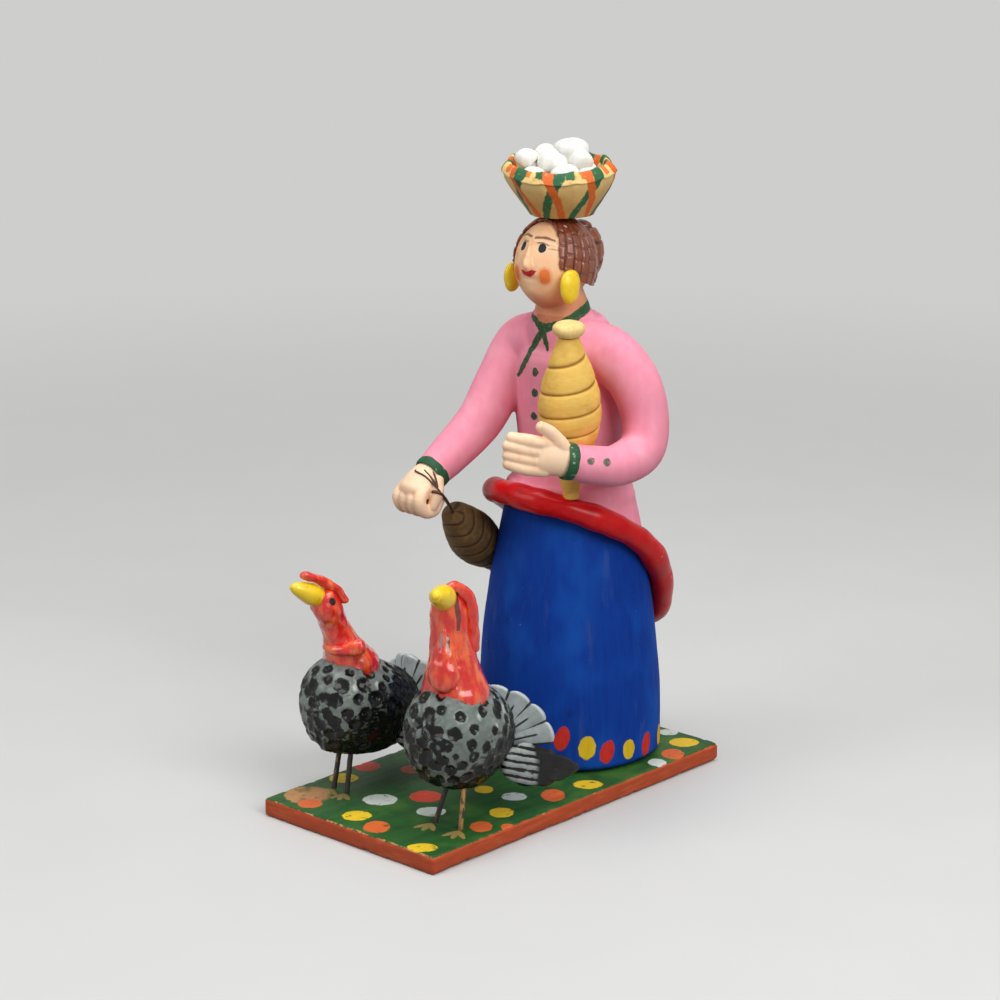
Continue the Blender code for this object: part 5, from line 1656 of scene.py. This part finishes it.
# face: brush strokes of (x, height, half width) laid on the front of the skull
faceStrokes = {
    "blush": (((6.7, 181.4, 2.6), (6.7, 179.8, 2.6)), ((-4.6, 181.4, 2.4), (-4.6, 179.8, 2.4))),
    "cheek": (((6.7, 181.4, 1.8), (6.7, 179.8, 1.8)), ((-4.6, 181.4, 1.7), (-4.6, 179.8, 1.7))),
    "white": (((3.6, 190.0, 1.3), (6.2, 189.9, 1.1)), ((-2.8, 190.0, 1.2), (-4.9, 189.9, 1.0))),
    "eye": (((4.7, 190.3, 1.4), (4.7, 189.8, 1.4)), ((-3.6, 190.4, 1.3), (-3.6, 189.6, 1.3))),
    # painted highlights: a pale line under the brow over one eye, and one down the nose
    "paintedHighlight": (
        ((1.6, 192.2, 0.35), (4.4, 192.0, 0.4), (7.4, 191.3, 0.35), (9.4, 190.3, 0.25)),
        ((1.9, 186.6, 0.7), (2.0, 184.8, 0.9)),
    ),
    "brow": (
        ((1.2, 193.0, 0.5), (4.4, 193.1, 0.6), (7.2, 192.3, 0.35)),
        ((-0.9, 193.2, 0.5), (-3.4, 193.5, 0.55), (-5.8, 192.8, 0.35)),
        ((2.5, 191.6, 0.25), (4.6, 191.6, 0.3), (6.4, 190.8, 0.25)),
        ((-1.6, 191.6, 0.25), (-3.6, 191.6, 0.3), (-5.2, 190.8, 0.2)),
        ((6.6, 189.9, 0.2), (9.2, 189.2, 0.12)),
    ),
    "lip": (
        ((-1.7, 182.0, 0.35), (-0.2, 181.5, 1.0), (1.4, 181.3, 1.3), (2.9, 181.8, 0.9), (4.1, 182.3, 0.3)),
    ),
}


def onFace(strokes):
    laid = []
    for stroke in strokes:
        laid.append([(x, float(headDepth(x, z)), z, half) for x, z, half in stroke])
    return laid


def skinTone(paint, light, dark, blush):
    broad = paint.cloud(5, 1)
    fine = paint.cloud(0.5, 3, 3)
    skin = paint.mix(broad, light, dark)
    skin = paint.mix(0.45 * paint.step(paint.cloud(3.4, 2, 3), 0.52, 0.74), skin, blush)
    return skin, fine


def facePaint():
    paint = Finish("facePaint", Specular_IOR_Level=0.35)
    skin, fine = skinTone(paint, tone(255, 214, 170), tone(250, 190, 142), tone(236, 156, 108))
    z = paint.level()
    # painted shade under the chin: the neck below it is a darker, browner skin
    throat = 1 - paint.step(z + 0.002 * (fine - 0.5), 168.0 * mm, 177.0 * mm)
    colour = paint.mix(0.75 * throat, skin, tone(204, 124, 84))
    wobble = 0.35 * (paint.cloud(1.0, 4, 2) - 0.5)
    relief = 0.4 * fine
    for name, light, dark, soft, share in (
        ("blush", tone(246, 166, 120), tone(240, 150, 106), 0.5, 0.7),
        ("cheek", tone(240, 128, 58), tone(232, 110, 46), 0.3, 0.95),
        ("white", tone(244, 222, 198), tone(234, 206, 178), 0.4, 0.5),
        # painted highlights under the brow and down the nose
        ("paintedHighlight", tone(255, 234, 208), tone(250, 222, 190), 0.25, 0.7),
        ("eye", tone(36, 34, 40), tone(14, 14, 18), 0.12, 1.0),
        ("brow", tone(124, 72, 50), tone(84, 44, 32), 0.18, 0.85),
        ("lip", tone(206, 40, 48), tone(176, 26, 36), 0.14, 1.0),
        ("scarf", tone(48, 98, 56), tone(26, 62, 36), 0.2, 1.0),
    ):
        mask = share * (1 - paint.step(paint.field(name) + wobble, -soft, soft))
        colour = paint.mix(mask, colour, paint.mix(paint.cloud(0.8, 5, 2), light, dark))
        relief = relief + 0.2 * mask
    return paint.done(colour, 0.5 + 0.2 * fine, relief, 0.08)


def handPaint():
    paint = Finish("handPaint", Specular_IOR_Level=0.35)
    skin, fine = skinTone(paint, tone(255, 226, 194), tone(250, 202, 162), tone(240, 178, 134))
    line = 1 - paint.step(paint.field("crease") + 0.5 * (paint.cloud(1.2, 6, 2) - 0.5), 0.2, 0.95)
    colour = paint.mix(0.75 * line, skin, tone(196, 96, 64))
    return paint.done(colour, 0.5 + 0.2 * fine, 0.4 * fine, 0.08)


def hairPaint():
    paint = Finish("hairPaint", Specular_IOR_Level=0.3, Coat_Roughness=0.16)
    streak = paint.cloud((1.4, 1.4, 4), 1, 4)
    fine = paint.cloud(0.6, 2, 3)
    brown = paint.mix(streak, tone(112, 48, 24), tone(150, 80, 48))
    brown = paint.mix(0.5 * paint.step(paint.cloud(4, 3, 3), 0.52, 0.7), brown, tone(164, 96, 62))
    # painted shade in the grooves: the brown darkens where they cut in
    deep = paint.step(paint.field("groove"), 0.25, 0.9)
    brown = paint.mix(0.75 * deep, brown, tone(52, 20, 12))
    return paint.done(brown, 0.28 + 0.18 * fine, 0.7 * streak + 0.4 * fine, 0.16, 0.6 - 0.5 * deep)


def earringPaint():
    paint = Finish("earringPaint", Coat_Roughness=0.25)
    broad = paint.cloud(2.6, 1, 3)
    fine = paint.cloud(0.6, 2, 3)
    yellow = paint.mix(broad, tone(255, 224, 40), tone(244, 200, 22))
    yellow = paint.mix(0.5 * paint.step(paint.cloud(1.4, 3, 3), 0.62, 0.74), yellow, tone(206, 150, 20))
    return paint.done(yellow, 0.34 + 0.2 * fine, broad + 0.4 * fine, 0.1, 0.2 + 0.1 * broad)


def basketPaint():
    paint = Finish("basketPaint", Specular_IOR_Level=0.3)
    broad = paint.cloud(5, 1)
    fine = paint.cloud(0.6, 2, 3)
    straw = paint.mix(broad, tone(244, 218, 150), tone(226, 184, 108))
    straw = paint.mix(0.5 * paint.step(paint.cloud(2.4, 3, 4), 0.55, 0.72), straw, tone(206, 146, 66))
    # painted shade: the straw darkens towards the foot of the basket
    straw = paint.mix(paint.step(paint.field("up"), 0.1, 0.9), tone(208, 160, 92), straw)
    inside = paint.field("inner")
    colour = paint.mix(inside, straw, paint.mix(fine, tone(196, 150, 84), tone(150, 104, 52)))
    wobble = 1.6 * (paint.cloud(2.0, 4, 3) - 0.5)
    relief = 0.4 * broad
    wide = 0.75 + 0.5 * paint.field("up")
    for name, half, light, dark in (
        ("patchLeft", 1.3, tone(58, 116, 70), tone(34, 88, 52)),
        ("patchRight", 1.3, tone(236, 132, 60), tone(214, 100, 38)),
        ("strandLeft", 1.7, tone(46, 108, 66), tone(24, 78, 46)),
        ("strandRight", 1.4, tone(232, 118, 46), tone(204, 84, 28)),
    ):
        away = paint.field(name) + wobble - half * wide
        mask = (1 - paint.step(away, -0.3, 0.3)) * (1 - inside)
        mask = mask * (1 - 0.45 * paint.step(paint.cloud(1.4, 6, 3), 0.6, 0.7))
        colour = paint.mix(mask, colour, paint.mix(fine, light, dark))
        relief = relief + 0.4 * mask
    return paint.done(colour, 0.48 + 0.2 * fine, relief + 0.4 * fine, 0.12)


def eggPaint():
    paint = Finish("eggPaint", Specular_IOR_Level=0.3)
    broad = paint.cloud(4, 1, 3)
    fine = paint.cloud(0.5, 2, 3)
    white = paint.mix(broad, tone(238, 238, 232), tone(222, 222, 214))
    stain = paint.step(paint.cloud(2.2, 3, 3), 0.66, 0.78)
    white = paint.mix(0.3 * stain, white, tone(214, 206, 180))
    return paint.done(white, 0.55 + 0.2 * fine, 0.6 * broad + 0.4 * fine, 0.1)


def flaxPaint():
    paint = Finish("flaxPaint", Specular_IOR_Level=0.2)
    streak = paint.cloud((3, 3, 1.1), 1, 4)
    fine = paint.cloud(0.55, 2, 3)
    flax = paint.mix(streak, tone(248, 208, 112), tone(230, 176, 80))
    flax = paint.mix(0.5 * paint.step(paint.cloud(6, 3, 3), 0.5, 0.72), flax, tone(214, 158, 62))
    # painted shade in the groove that runs round the flax
    deep = paint.step(paint.field("groove"), 0.3, 0.9)
    flax = paint.mix(0.7 * deep, flax, tone(132, 82, 30))
    return paint.done(flax, 0.6 + 0.2 * fine, 0.7 * streak + 0.4 * fine, 0.12)


def capPaint():
    paint = Finish("capPaint", Specular_IOR_Level=0.25)
    streak = paint.cloud((1.4, 4, 3), 1, 4)
    fine = paint.cloud(0.55, 2, 3)
    cream = paint.mix(streak, tone(250, 226, 160), tone(230, 188, 108))
    cream = paint.mix(0.4 * paint.step(paint.cloud(3, 3, 3), 0.55, 0.72), cream, tone(200, 146, 66))
    return paint.done(cream, 0.6 + 0.2 * fine, 0.6 * streak + 0.4 * fine, 0.1)


def yarnPaint():
    paint = Finish("yarnPaint", Specular_IOR_Level=0.25)
    streak = paint.cloud((2.6, 1.0, 1.0), 1, 4)
    fine = paint.cloud(0.5, 2, 3)
    olive = paint.mix(streak, tone(78, 57, 32), tone(130, 101, 60))
    olive = paint.mix(0.6 * paint.step(paint.cloud(5, 3, 3), 0.5, 0.7), olive, tone(142, 114, 68))
    # painted shade in the grooves between the wound rings
    deep = paint.step(paint.field("groove"), 0.3, 0.95)
    olive = paint.mix(0.75 * deep, olive, tone(38, 24, 12))
    return paint.done(olive, 0.5 + 0.2 * fine, 0.7 * streak + 0.4 * fine, 0.12)


def wirePaint(name, light, dark, bare):
    paint = Finish(name, Coat_Roughness=0.4)
    broad = paint.cloud(2.4, 1, 3)
    fine = paint.cloud(0.4, 2, 3)
    worn = paint.step(paint.cloud((1.2, 1.2, 3.5), 3, 4), *bare)
    colour = paint.mix(worn, paint.mix(broad, light, dark), tone(176, 138, 84))
    rough = 0.5 - 0.14 * worn + 0.15 * fine
    return paint.done(colour, rough, 0.5 * fine - 0.4 * worn, 0.06, metal=0.9 * worn)


def cuffPaint():
    paint = Finish("cuffPaint", Specular_IOR_Level=0.3)
    broad = paint.cloud(2.2, 1, 3)
    fine = paint.cloud(0.5, 2, 3)
    green = paint.mix(broad, tone(38, 92, 58), tone(24, 66, 42))
    worn = paint.step(paint.cloud(1.5, 3, 4), 0.58, 0.68)
    green = paint.mix(0.8 * worn, green, tone(150, 176, 138))
    return paint.done(green, 0.5 + 0.2 * fine, broad + 0.4 * fine, 0.1)


def featherPaint(name):
    paint = Finish(name, Coat_Roughness=0.06, Specular_IOR_Level=0.12)
    broad = paint.cloud(6, 1, 3)
    fine = paint.cloud(0.5, 2, 3)
    smear = paint.cloud((1.6, 4.2, 1.9), 3, 4)
    grey = paint.mix(smear, tone(72, 80, 77), tone(146, 156, 149))
    grey = paint.mix(0.5 * paint.step(broad, 0.5, 0.72), grey, tone(112, 122, 112))
    pale = paint.step(paint.cloud(6, 4, 3), 0.62, 0.74)
    grey = paint.mix(0.75 * pale, grey, tone(210, 216, 210))
    dent = paint.field("dent") + 0.9 * (paint.cloud(1.7, 5, 3) - 0.5)
    pit = 1 - paint.step(dent, 0.95, 1.22)
    ring = paint.step(paint.cloud(5, 6, 2), 0.58, 0.62) * (1 - paint.step(dent, 0.3, 0.55))
    pit = pit * (1 - 0.75 * ring)
    dusk = paint.field("dark") + 1.5 * (paint.cloud((3.2, 4.6, 2.6), 7, 4) - 0.5)
    night = paint.step(dusk, 0.36, 0.52)
    # a dry brush leaves grey on the ridges between the dents
    ridge = paint.step(dent, 1.2, 1.7) * paint.step(paint.cloud((1.2, 2.6, 1.2), 8, 4), 0.5, 0.62)
    night = night * (1 - 0.6 * ridge * (1 - paint.step(paint.field("dark"), 0.75, 1.0)))
    black = pit.join("MAXIMUM", night)
    colour = paint.mix(black, grey, paint.mix(fine, tone(8, 9, 9), tone(26, 28, 27)))
    return paint.done(colour, 0.2 + 0.16 * fine, 0.6 * smear + 0.3 * fine, 0.22, 0.12 + 0.3 * broad)


def tailPaint(name):
    paint = Finish(name, Coat_Roughness=0.2)
    streak = paint.cloud(2.2, 1, 4)
    fine = paint.cloud(0.5, 2, 3)
    grey = paint.mix(streak, tone(128, 138, 138), tone(186, 194, 194))
    line = paint.step(paint.field("groove") + 0.4 * (paint.cloud(1.6, 3, 3) - 0.5), 0.4, 0.62)
    root = 1 - paint.step(paint.field("out") + 0.3 * (streak - 0.5), 0.14, 0.32)
    black = line.join("MAXIMUM", root)
    rim = paint.step(paint.field("out"), 0.93, 0.99)
    colour = paint.mix(black, paint.mix(0.5 * rim, grey, tone(196, 202, 202)), tone(26, 28, 28))
    relief = 0.6 * streak + 0.4 * fine - 0.4 * line
    return paint.done(colour, 0.36 + 0.2 * fine, relief, 0.14, 0.25 + 0.1 * streak)


def wingPaint(name):
    paint = Finish(name, Coat_Roughness=0.12, Specular_IOR_Level=0.15)
    fine = paint.cloud(0.5, 2, 3)
    smear = paint.cloud(2.0, 1, 4)
    along = paint.field("along")
    bars = paint.step(paint.field("groove") + 0.7 * (paint.cloud(2.2, 3, 3) - 0.5), 0.26, 0.5)
    barred = (1 - bars) * (1 - paint.step(along + 3 * (smear - 0.5), 29.0, 31.5))
    black = paint.mix(smear, tone(8, 8, 8), tone(24, 25, 24))
    worn = paint.step(paint.cloud(1.6, 4, 3), 0.7, 0.78)
    black = paint.mix(0.4 * worn, black, tone(112, 110, 104))
    colour = paint.mix(0.9 * barred, black, paint.mix(smear, tone(128, 136, 134), tone(186, 192, 188)))
    return paint.done(colour, 0.22 + 0.2 * fine, 0.6 * smear + 0.4 * fine, 0.14, 0.15 + 0.15 * smear)


def redPaint(name):
    paint = Finish(name, Coat_Roughness=0.08)
    streak = paint.cloud((2.4, 2.4, 5.5), 1, 3)
    fine = paint.cloud(0.6, 2, 3)
    flame = paint.step(paint.cloud((3.4, 3.4, 9), 3, 3), 0.42, 0.66)
    red = paint.mix(streak, tone(230, 44, 28), tone(206, 24, 20))
    orange = paint.mix(streak, tone(248, 112, 50), tone(238, 86, 38))
    colour = paint.mix(flame, red, orange)
    deep = paint.step(paint.cloud(3.2, 4, 3), 0.62, 0.72)
    colour = paint.mix(0.35 * deep, colour, tone(140, 12, 16))
    line = 1 - paint.step(paint.field("line") + 0.4 * (paint.cloud(1.2, 5, 2) - 0.5), -0.1, 0.3)
    colour = paint.mix(0.85 * line, colour, tone(60, 8, 10))
    eye = 1 - paint.step(paint.field("eye"), -0.1, 0.12)
    colour = paint.mix(eye, colour, tone(10, 9, 10))
    return paint.done(colour, 0.18 + 0.14 * fine, streak + 0.3 * fine - 0.8 * line, 0.25, 0.6 + 0.2 * flame)


def beakPaint():
    paint = Finish("beakPaint", Coat_Roughness=0.15)
    broad = paint.cloud(2.6, 1, 3)
    fine = paint.cloud(0.5, 2, 3)
    yellow = paint.mix(broad, tone(252, 218, 30), tone(238, 196, 14))
    yellow = paint.mix(0.4 * paint.step(paint.cloud(2.0, 3, 3), 0.6, 0.74), yellow, tone(196, 140, 20))
    return paint.done(yellow, 0.28 + 0.16 * fine, broad + 0.4 * fine, 0.12, 0.3 + 0.1 * broad)


def dressFigure():
    settle(makeSlab(), "grass_green", slabPaint(), "base_slab")
    print("slab painted")
    settle(makeSkirt(), "skirt_blue", skirtPaint(), "skirt")
    settle(makeRoll(), "roll_red", rollPaint(), "overskirt_roll")
    print("skirt and roll painted")
    blouse = makeBlouse()
    for name, strokes in blouseStrokes.items():
        store(blouse, name, strokeField(spotsOf(blouse), strokes))
    settle(blouse, "bodice_pink", blousePaint(), "torso", "right_arm", "left_arm")
    head = makeHead()
    for name, strokes in faceStrokes.items():
        store(head, name, strokeField(spotsOf(head), onFace(strokes)))
    store(head, "scarf", strokeField(spotsOf(head), blouseStrokes["scarf"]))
    settle(head, "skin", facePaint(), "head")
    print("blouse and head painted")
    brown = hairPaint()
    hair, bun = makeHair()
    settle(hair, "hair_brown", brown, "hair_cap")
    settle(bun, "hair_brown", brown, "hair_bun")
    drops = earringPaint()
    settle(makeEarring("right_drop", -1, 0.86), "earring_yellow", drops, "right_earring")
    settle(makeEarring("left_drop", 1, 1.0), "earring_yellow", drops, "left_earring")
    settle(makeBasket(), "basket_straw", basketPaint(), "egg_basket")
    shell = eggPaint()
    for number, egg in enumerate(makeEggs(), start=1):
        settle(egg, "egg_white", shell, f"egg_{number}")
    print("hair, earrings, basket and eggs painted")
    bundle, cap = makeDistaff()
    settle(bundle, "flax_ochre", flaxPaint(), "distaff_bundle")
    settle(cap, "flax_ochre", capPaint(), "distaff_cap")
    skin = handPaint()
    settle(makeHand("left_mitt", "left", "leftSleeve"), "skin", skin, "left_hand")
    settle(makeHand("right_fist", "right", "rightSleeve"), "skin", skin, "right_hand")
    green = cuffPaint()
    settle(makeCuff("left_cuff_ring", "leftSleeve"), "cuff_green", green, "left_cuff")
    settle(makeCuff("right_cuff_ring", "rightSleeve"), "cuff_green", green, "right_cuff")
    yarn, wire = makeSpindle()
    settle(yarn, "yarn_olive", yarnPaint(), "spindle_yarn")
    brownWire = wirePaint("wirePaint", tone(92, 58, 40), tone(58, 38, 26), (0.66, 0.76))
    settle(wire, "wire_brown", brownWire, "spindle_wire")
    print("distaff, hands and spindle painted")


def dressTurkeys():
    yellow = beakPaint()
    for name, build in birdLook.items():
        settle(makeBirdBody(name, build), "feather_grey", featherPaint(name + "Feathers"), name + "_body")
        red = redPaint(name + "Red")
        neck = makeBirdNeck(name, build)
        beak, comb, wattle = makeBirdFace(name, build)
        for piece in (neck, comb, wattle):
            for mark in ("eye", "line"):
                store(piece, mark, strokeField(spotsOf(piece), build[mark]))
        settle(neck, "turkey_red", red, name + "_head")
        settle(beak, "beak_yellow", yellow, name + "_beak")
        settle(comb, "turkey_red", red, name + "_comb")
        settle(wattle, "turkey_red", red, name + "_wattle")
        settle(makeBirdTail(name, build), "feather_grey", tailPaint(name + "Tail"), name + "_tail")
        wing = wingPaint(name + "Wing")
        for side, word, bare in zip((-1, 1), ("right", "left"), build["bare"]):
            leg = wirePaint(f"{name}_{word}Leg", tone(58, 52, 46), tone(30, 27, 24), bare)
            settle(makeBirdWing(name, build, side), "feather_black", wing, f"{name}_{word}_wing")
            settle(makeBirdLeg(name, build, side), "leg_dark", leg, f"{name}_{word}_leg")
        print(name, "painted")


dressFigure()
dressTurkeys()


# plain pale floor and soft studio light
studio = {
    "floorSize": 6,
    "floorDrop": 0.02,
    "floorTone": (206, 206, 204),
    "floorGrain": 4,
    "floorBounce": (112, 112, 110),
    "floorFade": (250, 950),
    "worldTone": (0.90, 0.93, 1.0),
    "worldLight": 0.17,
    "aim": (0, 0, 0.09),
    "lamps": (
        ("top", (0.05, 0.0, 1.25), 0.9, 11.0),
        ("right", (1.0, -0.25, 0.8), 0.7, 9.6),
        ("left", (-0.45, -1.05, 0.75), 0.7, 5.0),
    ),
}


# rays that meet the pale backdrop: seen directly, in a mirror or through glass
def seenRays(tree):
    path = tree.nodes.new("ShaderNodeLightPath")
    seen = path.outputs["Is Camera Ray"]
    for kind in ("Is Glossy Ray", "Is Transmission Ray"):
        either = tree.nodes.new("ShaderNodeMath")
        either.operation = "MAXIMUM"
        tree.links.new(seen, either.inputs[0])
        tree.links.new(path.outputs[kind], either.inputs[1])
        seen = either.outputs[0]
    return seen


def makeStudio():
    clearSelection()
    bpy.ops.mesh.primitive_plane_add(size=studio["floorSize"], location=(0, 0, -studio["floorDrop"] * mm))
    floor = bpy.context.object
    floor.name = "pale_floor"
    paint = Finish("paleFloor", Specular_IOR_Level=0.2)
    grain = paint.cloud(40, 1)
    darker = tone(*(part - studio["floorGrain"] for part in studio["floorTone"]))
    pale = paint.mix(grain, tone(*studio["floorTone"]), darker)
    seen = Flow(paint, seenRays(paint.tree))
    # seen pale, but throws back no more light than a grey table
    colour = paint.mix(seen, tone(*studio["floorBounce"]), pale)
    floor.data.materials.append(paint.done(colour, 0.55 + 0.1 * grain))
    near, far = studio["floorFade"]
    fade = paint.step(paint.oval((0, 0, 0), (1000, 1000, 1000)), near * mm, far * mm) * seen
    glow = paint.node("ShaderNodeEmission", sockets={"Color": tone(*studio["floorTone"]), "Strength": 1.0})
    matt = Flow(paint, paint.shader.outputs[0])
    blend = paint.node("ShaderNodeMixShader", sockets={0: fade, 1: matt, 2: glow})
    paint.tree.links.new(blend.socket, paint.tree.nodes["Material Output"].inputs["Surface"])
    world = bpy.data.worlds.new("studioWorld")
    bpy.context.scene.world = world
    world.use_nodes = True
    nodes, links = world.node_tree.nodes, world.node_tree.links
    light = nodes["Background"]
    light.inputs["Color"].default_value = (*studio["worldTone"], 1)
    light.inputs["Strength"].default_value = studio["worldLight"]
    backdrop = nodes.new("ShaderNodeBackground")
    backdrop.inputs["Color"].default_value = tone(*studio["floorTone"])
    both = nodes.new("ShaderNodeMixShader")
    links.new(seenRays(world.node_tree), both.inputs[0])
    links.new(light.outputs[0], both.inputs[1])
    links.new(backdrop.outputs[0], both.inputs[2])
    links.new(both.outputs[0], nodes["World Output"].inputs["Surface"])
    for name, place, size, power in studio["lamps"]:
        bpy.ops.object.light_add(type="AREA", location=place)
        lamp = bpy.context.object
        lamp.name = name + "_softbox"
        lamp.data.shape = "SQUARE"
        lamp.data.size = size
        lamp.data.energy = power
        lamp.rotation_euler = (Vector(place) - Vector(studio["aim"])).to_track_quat("Z", "Y").to_euler()
    bpy.context.scene.view_settings.view_transform = "Standard"


makeStudio()
print("studio lit")
